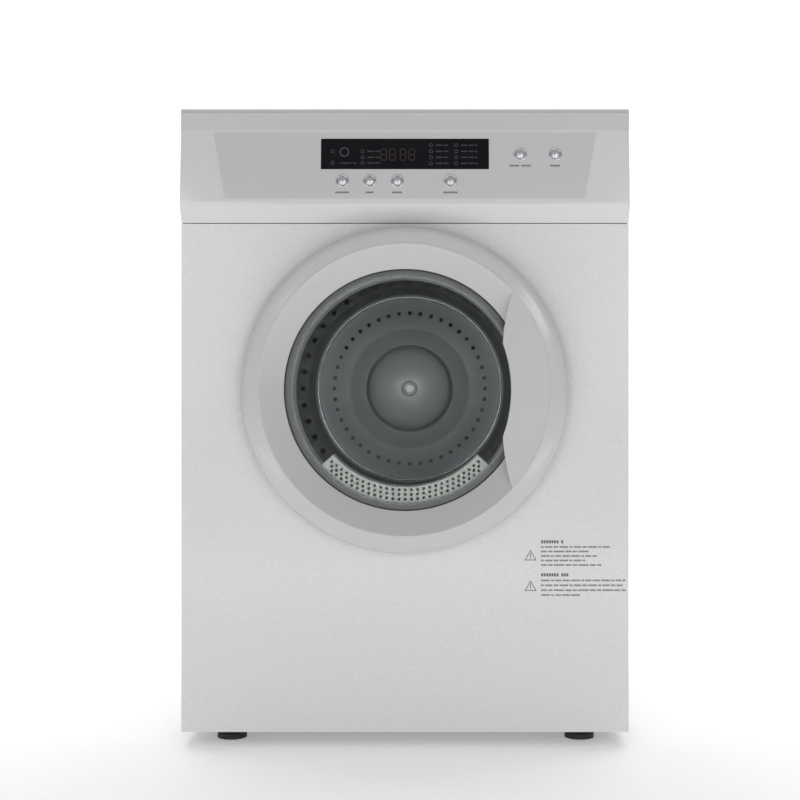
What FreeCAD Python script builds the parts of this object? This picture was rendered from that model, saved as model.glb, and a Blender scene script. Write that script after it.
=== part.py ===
import FreeCAD, Part
import math
import os
import re
import Sketcher

# A front-loading vented clothes dryer. Millimetres, +Z up, front toward -Y,
# origin on the floor under the middle of the machine's bounding box.

os.makedirs("parts", exist_ok=True)
doc = FreeCAD.newDocument("ClothesDryer")
sheet = doc.addObject("Spreadsheet::Sheet", "Sizes")

# ---- driving dimensions ----
sizes = {
    # case
    "body_width": 595, "body_height": 850, "body_depth": 555, "foot_gap": 20,
    "steel": 1, "edge_return": 14, "worktop_height": 30, "trim_depth": 25, "trim_round": 9,
    "trim_proud": 4, "fascia_height": 123, "panel_gap": 1, "pan_height": 14,
    # clearances between pieces
    "run_gap": 0.05, "touch_gap": 0.3, "slip_gap": 0.2, "sweep_gap": 2,
    # control fascia
    "fascia_wrap": 40, "fascia_set": 2, "fascia_tilt": 7, "fascia_wall": 4, "fascia_face": 98.5,
    "lip_height": 5, "lip_back": 1.5, "inlay_drop": 3, "inlay_height": 89.6, "inlay_top_width": 508,
    "inlay_base_width": 476, "inlay_depth": 1.5, "window_width": 222.8, "window_height": 41.5,
    "window_drop": 11.5, "window_proud": 0.2, "bezel_radius": 8.8, "bezel_height": 3, "cap_radius": 6.2, "cap_top": 5.2,
    "button_travel": 1.5, "stem_radius": 2.5, "stem_length": 8, "low_row": 69, "high_row": 32.8,
    "guard_x": -82.7, "heat_x": -46.5, "delay_x": -10, "program_x": 60.4, "start_x": 152.9,
    "power_x": 199.4, "board_width": 430, "board_height": 70, "board_thick": 1.6,
    # door
    "drum_axis": 475, "door_radius": 215, "ridge_radius": 191, "window_radius": 160,
    "door_proud": 34, "door_gap": 4, "rim_round": 6, "cone_depth": 22, "door_wall": 3,
    "hinge_in": 9, "hinge_stand": 16, "pin_radius": 2, "barrel_radius": 3.5, "barrel_length": 40,
    "arm_thick": 4, "glass_radius": 166, "glass_thick": 3, "liner_thick": 2, "plug_radius": 157,
    "seal_radius": 151, "strike_x": 187, "strike_thick": 5, "strike_height": 18, "strike_reach": 12,
    "handle_thick": 4, "handle_edge_x": 128.5, "handle_edge_z": 61, "handle_corner_z": 128.5,
    "scoop_x": 139.4,
    # throat and lint filter
    "opening_radius": 172, "throat_radius": 150, "throat_wall": 2.5, "throat_front": 6,
    "throat_back": 62, "throat_flange": 184, "bulkhead_depth": 40, "bulkhead_thick": 1.5,
    "filter_half": 94, "filter_front": 12, "filter_thick": 14, "filter_height": 100,
    "grille_span": 48, "grille_crest": 130.5, "grille_slope": 10, "grille_back": 60,
    "grille_wall": 1.5, "grille_hole": 2, "hole_rows": 3, "hole_columns": 27,
    "hole_spread": 3.25, "hole_lift": 6, "hole_inset": 3.2, "frame_wall": 3,
    "screen_width": 52, "screen_pitch": 60, "screen_edge": 8, "housing_wall": 1.5,
    # drum
    "drum_radius": 280, "drum_wall": 1, "drum_front": 66, "neck_radius": 166, "neck_length": 22,
    "annulus_depth": 455, "step_radius": 150, "step_depth": 480, "disc_depth": 468,
    "disc_radius": 97, "hub_radius": 66, "hub_groove": 71, "hub_depth": 474, "hub_height": 35,
    "inner_holes": 44, "inner_hole_circle": 124, "inner_hole": 3.3, "outer_holes": 40,
    "outer_hole_circle": 174, "outer_hole": 4.2, "lifter_count": 3, "lifter_height": 60,
    "lifter_base": 56, "lifter_crest": 24, "lifter_length": 330, "shaft_radius": 12.5,
    "shaft_flange": 60, "shaft_end": 535, "screw_radius": 4, "screw_head": 7,
    # rear
    "rear_bulkhead_depth": 490, "heater_width": 320, "heater_height": 240, "heater_deep": 48,
    "heater_base": 515, "bearing_width": 400, "bearing_height": 60, "bearing_boss": 26,
    "collar_radius": 50, "collar_wall": 2, "collar_proud": 20, "collar_x": -70, "collar_z": 85,
    "duct_radius": 45, "terminal_width": 90, "terminal_height": 70, "terminal_proud": 14,
    "terminal_x": 190, "terminal_z": 740, "gland_radius": 6, "cover_wall": 2,
    "vent_columns": 6, "vent_rows": 8, "vent_width": 20, "vent_height": 5, "vent_pitch": 30,
    "vent_step": 12, "vent_drop": 180, "rod_radius": 4, "rod_count": 4, "rod_pitch": 14,
    "rod_rise": 130, "bearing_thick": 3,
    # drive
    "motor_x": 140, "motor_z": 108, "motor_radius": 58, "motor_front": 120, "motor_length": 125,
    "rotor_radius": 7, "pulley_radius": 12, "belt_depth": 264, "belt_width": 10, "belt_thick": 2,
    "blower_radius": 82, "blower_front": 41.5, "blower_deep": 54, "duct_wall": 2,
    "impeller_radius": 70, "impeller_hub": 18, "blade_count": 12, "blade_root": 38,
    "blade_reach": 30, "blade_thick": 2,
    "idler_radius": 15, "idler_along": 0.55, "arm_pivot_x": 60, "arm_pivot_z": 55,
    "lever_eye": 10, "lever_end": 7, "lever_thick": 3,
    "roller_radius": 30, "roller_width": 22, "roller_depth": 72, "roller_angle": 35,
    "axle_radius": 5, "shoulder_radius": 9,
    # feet
    "foot_radius": 20, "foot_pad": 12, "stud_radius": 5, "stud_top": 32, "foot_inset": 60,
}
row = 1
for word, number in sizes.items():
    sheet.set(f"A{row}", word)
    sheet.set(f"B{row}", str(number))
    sheet.setAlias(f"B{row}", word)
    row = row + 1
doc.recompute()

# ---- places worked out from the driving dimensions ----
places = {
    "front_y": "-(body_depth + collar_proud - door_proud)/2",
    "side_x": "body_width/2",
    "case_top": "body_height - worktop_height",
    "fascia_base": "case_top - fascia_height",
    "panel_top": "fascia_base - panel_gap",
    "inner_x": "side_x - steel",
    "hinge_x": "-(door_radius - hinge_in)",
    "rim_back": "-door_gap",
    "glass_back": "-(door_gap + liner_thick)",
    "glass_front": "glass_back - glass_thick",
    "throat_outer": "throat_radius + throat_wall",
    "neck_front": "drum_front - neck_length",
    "floor_z": "foot_gap + bulkhead_thick",
    "pan_rim": "foot_gap + pan_height",
    "filter_floor": "drum_axis - throat_radius - filter_height",
    "bezel_hole": "cap_radius + slip_gap",
    "belt_inner": "drum_radius + touch_gap",
    "belt_pulley": "pulley_radius + touch_gap",
    "belt_span": "sqrt(motor_x^2 + (motor_z - drum_axis)^2)",
    "belt_lean": "(belt_inner - belt_pulley)/belt_span",
    "belt_across": "sqrt(1 - belt_lean^2)",
    "belt_normal_x": "(motor_x*belt_lean + (motor_z - drum_axis)*belt_across)/belt_span",
    "belt_normal_z": "((motor_z - drum_axis)*belt_lean - motor_x*belt_across)/belt_span",
    "run_radius": "belt_inner + (belt_pulley - belt_inner)*idler_along",
    "idler_reach": "run_radius + belt_thick + touch_gap + idler_radius",
    "idler_x": "motor_x*idler_along + belt_normal_x*idler_reach",
    "idler_z": "drum_axis + (motor_z - drum_axis)*idler_along + belt_normal_z*idler_reach",
    "lever_side": "belt_depth + belt_width + 3",
}


def formula(text):
    """Write a formula in the sheet's words out in full."""
    def swap(match):
        word = match.group(0)
        if word in places:
            return "(" + formula(places[word]) + ")"
        if word in sizes:
            return "Sizes." + word
        return word
    return re.sub(r"[a-z][a-z_]+", swap, str(text))


def value(text):
    """A formula's present value."""
    return float(sheet.evalExpression(formula(text)))


def bind(thing, **fields):
    for field, text in fields.items():
        thing.setExpression(field.replace("__", "."), formula(text))


def settle(thing, x, y, z):
    """Bind where a piece stands."""
    thing.setExpression("Placement.Base.x", formula(x))
    thing.setExpression("Placement.Base.y", formula(y))
    thing.setExpression("Placement.Base.z", formula(z))


def behind(depth):
    """Y of a place so far behind the front panel's face."""
    return f"front_y + ({depth})"


def turn_piece(thing, angle):
    turned = FreeCAD.Rotation(FreeCAD.Vector(1, 0, 0), value(angle))
    thing.Placement = FreeCAD.Placement(FreeCAD.Vector(), turned)


def lean_on_fascia(thing, across="0", up="0", out="0"):
    """Stand a piece on the tilted fascia: up its slope, and out along its normal."""
    turn_piece(thing, "90 - fascia_tilt")
    thing.setExpression("Placement.Rotation.Angle", formula("90 - fascia_tilt"))
    lean_y = f"({up})*sin(fascia_tilt) - ({out})*cos(fascia_tilt)"
    lean_z = f"({up})*cos(fascia_tilt) + ({out})*sin(fascia_tilt)"
    settle(thing, across, f"front_y - fascia_set + {lean_y}", f"case_top + {lean_z}")


# ---- ways of making a piece ----
def block(name, x_range, depth_range, z_range):
    """A box between two places each way; its depth is behind the front panel's face."""
    piece = doc.addObject("Part::Box", name)
    bind(piece, Length=f"({x_range[1]}) - ({x_range[0]})",
         Width=f"({depth_range[1]}) - ({depth_range[0]})",
         Height=f"({z_range[1]}) - ({z_range[0]})")
    settle(piece, x_range[0], behind(depth_range[0]), z_range[0])
    return piece


def rod(name, radius, x, z, depth_range):
    """A cylinder that runs front to back."""
    piece = doc.addObject("Part::Cylinder", name)
    turn_piece(piece, "-90")
    bind(piece, Radius=radius, Height=f"({depth_range[1]}) - ({depth_range[0]})")
    settle(piece, x, behind(depth_range[0]), z)
    return piece


def post(name, radius, x, depth, z_range):
    """An upright cylinder."""
    piece = doc.addObject("Part::Cylinder", name)
    bind(piece, Radius=radius, Height=f"({z_range[1]}) - ({z_range[0]})")
    settle(piece, x, behind(depth), z_range[0])
    return piece


def join(name, *pieces):
    whole = doc.addObject("Part::MultiFuse", name)
    whole.Shapes = list(pieces)
    return whole


def cut(name, base, *tools):
    whole = doc.addObject("Part::Cut", name)
    whole.Base = base
    whole.Tool = tools[0] if len(tools) == 1 else join(name + "_cutters", *tools)
    return whole


def overlap(name, first, second):
    whole = doc.addObject("Part::MultiCommon", name)
    whole.Shapes = [first, second]
    return whole


def group(name, pieces):
    """Separate solids that share one node."""
    whole = doc.addObject("Part::Compound", name)
    whole.Links = list(pieces)
    return whole


def origin_feature(body, role):
    return [part for part in body.Origin.OriginFeatures if part.Role == role][0]


def sketch_outline(body, name, plane, points):
    """A closed outline of straight lines, each corner bound to its formulas."""
    sketch = body.newObject("Sketcher::SketchObject", name)
    sketch.AttachmentSupport = (origin_feature(body, plane), [""])
    sketch.MapMode = "FlatFace"
    spots = [FreeCAD.Vector(value(across), value(up), 0) for across, up in points]
    count = len(spots)
    for index in range(count):
        sketch.addGeometry(Part.LineSegment(spots[index], spots[(index + 1) % count]), False)
    for index in range(count):
        sketch.addConstraint(Sketcher.Constraint("Coincident", index, 2, (index + 1) % count, 1))
    for index in range(count):
        for kind, text, spot in (("DistanceX", points[index][0], spots[index].x),
                                 ("DistanceY", points[index][1], spots[index].y)):
            number = sketch.addConstraint(Sketcher.Constraint(kind, -1, 1, index, 1, spot))
            sketch.setExpression(f"Constraints[{number}]", formula(text))
    return sketch


def turned(name, profile, x="0", depth="0", z="drum_axis", upright=False):
    """A piece turned about its own axis: (radius, distance along the axis) corners."""
    body = doc.addObject("PartDesign::Body", name)
    sketch = sketch_outline(body, name + "_profile", "XZ_Plane", profile)
    spin = body.newObject("PartDesign::Revolution", name + "_turned")
    spin.Profile = (sketch, [""])
    spin.ReferenceAxis = (sketch, ["V_Axis"])
    spin.Angle = 360
    if not upright:
        turn_piece(body, "-90")
    settle(body, x, behind(depth), z)
    return body


def plate(name, outline, thickness):
    """A flat piece padded from its outline, which the caller then places."""
    body = doc.addObject("PartDesign::Body", name)
    sketch = sketch_outline(body, name + "_outline", "XY_Plane", outline)
    pad = body.newObject("PartDesign::Pad", name + "_pad")
    pad.Profile = (sketch, [""])
    bind(pad, Length=thickness)
    return body


nodes = []


def keep(piece, label):
    piece.Label = label
    nodes.append(piece)
    return piece


# ---- case ----
def make_side_panels():
    for label, sign in (("left_side_panel", "-1"), ("right_side_panel", "1")):
        def ends(first, second):
            low, high = (second, first) if sign == "-1" else (first, second)
            return (f"{sign}*({low})", f"{sign}*({high})")
        sheet_body = block(label + "_blank", ends("side_x - edge_return", "side_x"),
                           ("edge_return", "body_depth - steel"), ("foot_gap", "case_top"))
        hollow = block(label + "_hollow", ends("side_x - edge_return - 1", "side_x - steel"),
                       ("edge_return + steel", "body_depth - 2*steel"),
                       ("foot_gap - 1", "case_top + 1"))
        notch = block(label + "_notch", ends("side_x - edge_return - 1", "side_x + 1"),
                      ("0", "fascia_wrap"), ("fascia_base", "case_top + 1"))
        keep(cut(label + "_sheet", sheet_body, hollow, notch), label)


def make_base_pan():
    tray = block("pan_blank", ("-inner_x", "inner_x"),
                 ("edge_return + steel", "body_depth - 2*steel"),
                 ("foot_gap", "foot_gap + pan_height"))
    hollow = block("pan_hollow", ("-inner_x + steel", "inner_x - steel"),
                   ("edge_return + 2*steel", "body_depth - 3*steel"),
                   ("floor_z", "foot_gap + pan_height + 1"))
    holes = [post(f"pan_hole_{index}", "stud_radius + run_gap", x, depth,
                  ("foot_gap - 1", "floor_z + 1"))
             for index, (x, depth) in enumerate(foot_spots)]
    keep(cut("pan_tray", tray, hollow, *holes), "base_pan")


foot_spots = [(x, depth) for depth in ("foot_inset", "body_depth - foot_inset")
              for x in ("-(side_x - foot_inset)", "side_x - foot_inset")]


def make_feet():
    names = ("front_left_foot", "front_right_foot", "rear_left_foot", "rear_right_foot")
    for name, (x, depth) in zip(names, foot_spots):
        profile = [("0", "0"), ("foot_radius", "0"), ("foot_radius", "foot_pad - 5"),
                   ("stud_radius + 6", "foot_pad"),
                   ("stud_radius + 6", "foot_gap - touch_gap"),
                   ("stud_radius", "foot_gap - touch_gap"), ("stud_radius", "stud_top"),
                   ("0", "stud_top")]
        keep(turned(name + "_body", profile, x, depth, "0", upright=True), name)


def make_front_panel():
    tray = block("front_blank", ("-side_x", "side_x"), ("0", "edge_return"),
                 ("foot_gap", "panel_top"))
    hollow = block("front_hollow", ("-inner_x", "inner_x"), ("steel", "edge_return + 1"),
                   ("foot_gap + steel", "panel_top - steel"))
    folded = cut("front_tray", tray, hollow)
    lip = rod("front_lip", "opening_radius + steel", "0", "drum_axis",
              ("0", "throat_front - touch_gap"))
    hole = rod("front_opening", "opening_radius", "0", "drum_axis", ("-1", "throat_front + 1"))
    arm_slots = [block(f"front_arm_slot_{index}",
                       ("hinge_x - barrel_radius - 1.5", "hinge_x + barrel_radius + 1.5"),
                       ("-1", "steel + 1"), (f"drum_axis + {low} - 1", f"drum_axis + {high} + 1"))
                 for index, (low, high) in enumerate(hinge_arms)]
    strike_slot = block("front_strike_slot",
                        ("strike_x - sweep_gap", "strike_x + strike_thick + sweep_gap"),
                        ("-1", "steel + 1"),
                        ("drum_axis - strike_height/2 - sweep_gap",
                         "drum_axis + strike_height/2 + sweep_gap"))
    keep(cut("front_sheet", join("front_drawn", folded, lip), hole, strike_slot, *arm_slots),
         "front_panel")


def make_rear_panel():
    sheet_body = block("rear_blank", ("-side_x", "side_x"), ("body_depth - steel", "body_depth"),
                       ("foot_gap", "case_top"))
    duct = rod("rear_duct_hole", "collar_radius + touch_gap", "collar_x", "collar_z",
               ("body_depth - 5", "body_depth + 5"))
    gland = rod("rear_gland_hole", "gland_radius", "terminal_x", "terminal_z",
                ("body_depth - 5", "body_depth + 5"))
    vents = []
    columns = int(value("vent_columns"))
    for line in range(int(value("vent_rows"))):
        for column in range(columns):
            left = f"({column} - vent_columns/2)*vent_pitch"
            base = f"heater_base - vent_drop + {line}*vent_step"
            vents.append(block(f"rear_vent_{line}_{column}", (left, f"{left} + vent_width"),
                               ("body_depth - 5", "body_depth + 5"),
                               (base, f"{base} + vent_height")))
    keep(cut("rear_sheet", sheet_body, duct, gland, *vents), "rear_panel")


def make_worktop():
    board = block("worktop_board", ("-side_x", "side_x"),
                  ("trim_depth - trim_proud", "body_depth"), ("case_top", "body_height"))
    keep(board, "worktop")
    bar = block("trim_bar", ("-side_x", "side_x"), ("-trim_proud", "trim_depth - trim_proud"),
                ("case_top", "body_height"))
    corner = block("trim_corner", ("-side_x", "side_x"),
                   ("-trim_proud", "trim_round - trim_proud"),
                   ("body_height - trim_round", "body_height"))
    roll = doc.addObject("Part::Cylinder", "trim_roll")
    roll.Placement = FreeCAD.Placement(FreeCAD.Vector(),
                                       FreeCAD.Rotation(FreeCAD.Vector(0, 1, 0), 90))
    bind(roll, Radius="trim_round", Height="body_width")
    settle(roll, "-side_x", behind("trim_round - trim_proud"), "body_height - trim_round")
    keep(join("trim_rounded", cut("trim_square", bar, corner),
              overlap("trim_nose", roll, corner)), "worktop_front_trim")


# ---- control fascia ----
buttons = [("crease_guard_button", "guard_x", "low_row"), ("heat_button", "heat_x", "low_row"),
           ("delay_button", "delay_x", "low_row"), ("program_button", "program_x", "low_row"),
           ("start_button", "start_x", "high_row"), ("power_button", "power_x", "high_row")]


def fascia_section(inset):
    """Corners of the fascia's section, (depth, height), drawn in by the wall's thickness."""
    lip_y = "-fascia_set - fascia_face*sin(fascia_tilt)"
    lip_z = "case_top - fascia_face*cos(fascia_tilt)"
    return [(f"fascia_wrap + {inset}", f"case_top - ({inset})"),
            (f"-fascia_set + ({inset})", f"case_top - ({inset})"),
            (f"{lip_y} + ({inset})", lip_z),
            (f"{lip_y} + lip_back + ({inset})", f"{lip_z} - lip_height + ({inset})/3"),
            (f"{inset}", f"fascia_base + ({inset})"),
            (f"fascia_wrap + {inset}", f"fascia_base + ({inset})")]


def fascia_solid(name, inset):
    body = doc.addObject("PartDesign::Body", name)
    corners = [(depth, f"({height}) - drum_axis") for depth, height in fascia_section(inset)]
    sketch = sketch_outline(body, name + "_section", "YZ_Plane", corners)
    pad = body.newObject("PartDesign::Pad", name + "_pad")
    pad.Profile = (sketch, [""])
    pad.SideType = "Symmetric"
    bind(pad, Length=f"body_width - 2*({inset})")
    settle(body, "0", "front_y", "drum_axis")
    return body


def inlay_outline():
    return [("-inlay_top_width/2", "-inlay_drop"),
            ("-inlay_base_width/2", "-inlay_drop - inlay_height"),
            ("inlay_base_width/2", "-inlay_drop - inlay_height"),
            ("inlay_top_width/2", "-inlay_drop")]


def on_fascia_rod(name, radius, across, drop, out_range):
    """A cylinder square to the fascia's face, between two heights above it."""
    piece = doc.addObject("Part::Cylinder", name)
    lean_on_fascia(piece, across, f"-({drop})", out_range[0])
    bind(piece, Radius=radius, Height=f"({out_range[1]}) - ({out_range[0]})")
    return piece


def window_outline():
    return [("-window_width/2", "-window_drop"),
            ("-window_width/2", "-window_drop - window_height"),
            ("window_width/2", "-window_drop - window_height"),
            ("window_width/2", "-window_drop")]


def make_fascia():
    recess = plate("inlay_recess", inlay_outline(), "20")
    lean_on_fascia(recess, "0", "0", "-inlay_depth")
    stem_holes = [on_fascia_rod(f"{name}_guide", "stem_radius + slip_gap", x, drop,
                                ("-20", "5")) for name, x, drop in buttons]
    keep(cut("fascia_moulding", fascia_solid("fascia_outer", "0"),
             fascia_solid("fascia_inner", "fascia_wall"), recess, *stem_holes), "control_fascia")

    blank = plate("inlay_blank", inlay_outline(), "inlay_depth")
    lean_on_fascia(blank, "0", "0", "-inlay_depth")
    opening = plate("inlay_window", window_outline(), "20")
    lean_on_fascia(opening, "0", "0", "-inlay_depth - 5")
    holes = [on_fascia_rod(f"{name}_inlay_hole", "bezel_radius", x, drop, ("-10", "10"))
             for name, x, drop in buttons]
    keep(cut("inlay_plate", blank, opening, *holes), "control_inlay")

    window = plate("window_plate", window_outline(), "inlay_depth + window_proud")
    lean_on_fascia(window, "0", "0", "-inlay_depth")
    keep(window, "display_window")

    rings = []
    for name, x, drop in buttons:
        outer = on_fascia_rod(f"{name}_ring", "bezel_radius", x, drop,
                              ("-inlay_depth", "bezel_height - inlay_depth"))
        inner = on_fascia_rod(f"{name}_ring_hole", "bezel_hole", x, drop, ("-10", "10"))
        rings.append(cut(f"{name}_bezel", outer, inner))
    keep(group("bezel_rings", rings), "button_bezels")

    for name, x, drop in buttons:
        cap = on_fascia_rod(f"{name}_cap", "cap_radius", x, drop,
                            ("-inlay_depth + button_travel + 0.5", "-inlay_depth + cap_top"))
        stem = on_fascia_rod(f"{name}_stem", "stem_radius", x, drop, ("-stem_length", "0.5"))
        keep(join(f"{name}_whole", cap, stem), name)

    board = plate("board_blank",
                  [("-board_width/2", "-board_height - window_drop"),
                   ("board_width/2", "-board_height - window_drop"),
                   ("board_width/2", "-window_drop"), ("-board_width/2", "-window_drop")],
                  "board_thick")
    lean_on_fascia(board, "0", "0", "-stem_length - 2*button_travel - board_thick")
    keep(board, "control_board")


# ---- door ----
hinge_arms = (("-barrel_length/2 - arm_thick - 0.5", "-barrel_length/2 - 0.5"),
              ("barrel_length/2 + 0.5", "barrel_length/2 + arm_thick + 0.5"))


def make_door_frame():
    cone_top = "-door_proud + cone_depth"
    profile = [("door_radius", "rim_back"), ("door_radius", "-door_proud + rim_round + 4"),
               ("door_radius - rim_round", "-door_proud + 4"), ("ridge_radius", "-door_proud"),
               ("window_radius", cone_top), ("window_radius", "glass_front - 1"),
               ("window_radius + 1.6", "glass_front - 1"),
               ("ridge_radius + 1.5", "-door_proud + door_wall"),
               ("door_radius - rim_round - 1", "-door_proud + door_wall + 4"),
               ("door_radius - door_wall", "-door_proud + rim_round + 5"),
               ("door_radius - door_wall", "rim_back")]
    ring = turned("door_ring", profile)
    slots = [block(f"rim_slot_{index}",
                   ("-door_radius - 1", "hinge_x + 1"),
                   ("-hinge_stand - 8", "rim_back + 1"),
                   (f"drum_axis + {low} - 1", f"drum_axis + {high} + 1"))
             for index, (low, high) in enumerate(hinge_arms)]
    keep(cut("door_ring_slotted", ring, *slots), "door_frame")


def make_door_handle():
    """The flat crescent that bridges the ring's inner cone, with a scooped grip edge."""
    ridge = value("ridge_radius - 0.6")
    corner_z = value("handle_corner_z")
    corner_x = math.sqrt(ridge**2 - corner_z**2)
    edge_x = value("handle_edge_x")
    edge_z = value("handle_edge_z")
    bow_x = (corner_x + edge_x)/2 - 2
    bow_z = (corner_z + edge_z)/2

    def spot(x, z):
        return FreeCAD.Vector(x, 0, z)

    rim = Part.Arc(spot(corner_x, corner_z), spot(ridge, 0), spot(corner_x, -corner_z))
    low = Part.Arc(spot(corner_x, -corner_z), spot(bow_x, -bow_z), spot(edge_x, -edge_z))
    scoop = Part.Arc(spot(edge_x, -edge_z), spot(value("scoop_x"), 0), spot(edge_x, edge_z))
    high = Part.Arc(spot(edge_x, edge_z), spot(bow_x, bow_z), spot(corner_x, corner_z))
    edges = [curve.toShape() for curve in (rim, low, scoop, high)]
    face = Part.Face(Part.Wire(edges))
    crescent = doc.addObject("Part::Feature", "handle_crescent")
    crescent.Shape = face.extrude(FreeCAD.Vector(0, value("handle_thick"), 0))
    settle(crescent, "0", behind("-door_proud"), "drum_axis")
    cone = turned("handle_seat", [("0", "-door_proud - 1"), ("ridge_radius + 1", "-door_proud - 1"),
                                  ("ridge_radius", "-door_proud"),
                                  ("window_radius", "-door_proud + cone_depth"),
                                  ("0", "-door_proud + cone_depth")])
    keep(overlap("handle_fitted", crescent, cone), "door_handle")


def make_door_inside():
    keep(turned("door_pane", [("0", "glass_front"), ("glass_radius", "glass_front"),
                              ("glass_radius", "glass_back"), ("0", "glass_back")]), "door_glass")
    liner = turned("liner_ring", [("plug_radius - 3", "glass_back"),
                                  ("door_radius - door_wall", "glass_back"),
                                  ("door_radius - door_wall", "rim_back"),
                                  ("plug_radius", "rim_back"), ("plug_radius", "1"),
                                  ("plug_radius - 3", "1")])
    pocket = block("liner_pocket", ("-door_radius", "hinge_x + 2*barrel_radius"),
                   ("-10", "0"), ("drum_axis - barrel_length", "drum_axis + barrel_length"))
    keep(cut("liner_notched", liner, pocket), "door_back")
    keep(turned("seal_ring", [("seal_radius", "1"), ("plug_radius", "1"),
                              ("plug_radius", "throat_front - touch_gap"),
                              ("seal_radius", "throat_front - touch_gap")]), "door_seal")


def make_hinge():
    arms = []
    for index, (low, high) in enumerate(hinge_arms):
        heights = (f"drum_axis + {low}", f"drum_axis + {high}")
        bar = block(f"hinge_arm_{index}", ("hinge_x - barrel_radius", "hinge_x + barrel_radius"),
                    ("-hinge_stand", "steel"), heights)
        eye = post(f"hinge_eye_{index}", "barrel_radius", "hinge_x", "-hinge_stand", heights)
        arms.extend((bar, eye))
    base = block("hinge_base", ("hinge_x - 12", "hinge_x + 12"), ("steel", "steel + 3"),
                 ("drum_axis - barrel_length", "drum_axis + barrel_length"))
    pin_hole = post("hinge_pin_hole", "pin_radius", "hinge_x", "-hinge_stand",
                    ("drum_axis - barrel_length", "drum_axis + barrel_length"))
    keep(cut("hinge_bracket_body", join("hinge_bracket_blank", base, *arms), pin_hole),
         "hinge_bracket")
    reach = "barrel_length/2 + arm_thick + 1.5"
    keep(post("hinge_pin_rod", "pin_radius", "hinge_x", "-hinge_stand",
              (f"drum_axis - ({reach})", f"drum_axis + {reach}")), "hinge_pin")

    heights = ("drum_axis - barrel_length/2", "drum_axis + barrel_length/2")
    barrel = post("leaf_barrel", "barrel_radius", "hinge_x", "-hinge_stand", heights)
    web = block("leaf_web", ("hinge_x", "hinge_x + 3*barrel_radius"),
                ("-hinge_stand - 1.5", "-hinge_stand + 1.5"), heights)
    drop = block("leaf_drop", ("hinge_x + 2*barrel_radius", "hinge_x + 3*barrel_radius"),
                 ("-hinge_stand - 1.5", "glass_back"), heights)
    foot = block("leaf_foot", ("hinge_x + 2*barrel_radius", "-glass_radius - 2"),
                 ("glass_back - 2", "glass_back"), heights)
    bore = post("leaf_bore", "pin_radius + run_gap", "hinge_x", "-hinge_stand",
                ("drum_axis - barrel_length", "drum_axis + barrel_length"))
    keep(cut("leaf_body", join("leaf_blank", barrel, web, drop, foot), bore), "hinge_leaf")


def make_latch():
    heights = ("drum_axis - strike_height/2", "drum_axis + strike_height/2")
    tongue = block("strike_tongue", ("strike_x", "strike_x + strike_thick"),
                   ("rim_back", "strike_reach"), heights)
    barb = block("strike_barb", ("strike_x - 1.5", "strike_x"),
                 ("strike_reach - 4", "strike_reach"), heights)
    keep(join("strike_hook", tongue, barb), "door_strike")
    case = block("lock_case", ("throat_flange + 0.5", "strike_x + strike_thick + 14"),
                 ("steel", "strike_reach + 14"),
                 ("drum_axis - 2*strike_height", "drum_axis + 2*strike_height"))
    pocket = block("lock_pocket", ("strike_x - 1.5 - 0.8", "strike_x + strike_thick + sweep_gap"),
                   ("0", "strike_reach + sweep_gap"),
                   ("drum_axis - strike_height/2 - sweep_gap",
                    "drum_axis + strike_height/2 + sweep_gap"))
    keep(cut("lock_body", case, pocket), "door_lock_switch")


# ---- throat and lint filter ----
def make_throat():
    ring = turned("throat_turned",
                  [("throat_radius", "throat_front"), ("throat_flange", "throat_front"),
                   ("throat_flange", "throat_front + 2"), ("throat_outer", "throat_front + 2"),
                   ("throat_outer", "throat_back"), ("throat_radius", "throat_back")])
    slot = block("throat_slot", ("-filter_half - 2", "filter_half + 2"),
                 ("filter_front - 1", "filter_front + filter_thick + 1"),
                 ("drum_axis - throat_radius - 10", "drum_axis - 100"))
    keep(cut("throat_slotted", ring, slot), "throat_ring")
    keep(turned("felt_ring", [("throat_outer", "neck_front + 1"),
                              ("neck_radius - touch_gap", "neck_front + 1"),
                              ("neck_radius - touch_gap", "throat_back"),
                              ("throat_outer", "throat_back")]), "front_felt_seal")

    sheet_body = block("bulkhead_blank", ("-inner_x", "inner_x"),
                       ("bulkhead_depth", "bulkhead_depth + bulkhead_thick"),
                       ("pan_rim", "panel_top - 20"))
    hole = rod("bulkhead_hole", "throat_outer", "0", "drum_axis",
               ("bulkhead_depth - 5", "bulkhead_depth + 5"))
    intake = rod("bulkhead_intake", "duct_radius", "motor_x", "motor_z",
                 ("bulkhead_depth - 5", "bulkhead_depth + 5"))
    keep(cut("bulkhead_sheet", sheet_body, hole, intake), "front_bulkhead")


def make_filter_housing():
    """A slim chute from the slot in the throat down to the blower's intake."""
    inside = ("filter_front - 1", "filter_front + filter_thick + 1")
    outside = ("filter_front - 1 - housing_wall", "filter_front + filter_thick + 1 + housing_wall")
    half = "filter_half + 2"
    chute = block("chute", (f"-({half}) - housing_wall", f"{half} + housing_wall"), outside,
                  ("filter_floor - 10", "drum_axis - 100"))
    low = block("chute_low", (f"-({half}) - housing_wall", "motor_x + duct_radius + 10"),
                ("filter_front - 1 - housing_wall", "bulkhead_depth"),
                ("motor_z - duct_radius - 12", "filter_floor - 10"))
    throat = rod("chute_throat", "throat_outer", "0", "drum_axis", ("-50", "100"))
    chute_in = block("chute_in", (f"-({half})", half), inside,
                     ("filter_floor - 30", "drum_axis - 90"))
    low_in = block("chute_low_in", (f"-({half})", "motor_x + duct_radius + 10 - housing_wall"),
                   ("filter_front - 1", "bulkhead_depth - housing_wall"),
                   ("motor_z - duct_radius - 12 + housing_wall", "filter_floor - 10 - housing_wall"))
    intake = rod("chute_intake", "duct_radius", "motor_x", "motor_z",
                 ("bulkhead_depth - 5", "bulkhead_depth + 5"))
    keep(cut("housing_shell", join("housing_blank", chute, low), throat, chute_in, low_in, intake),
         "filter_housing")


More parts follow.
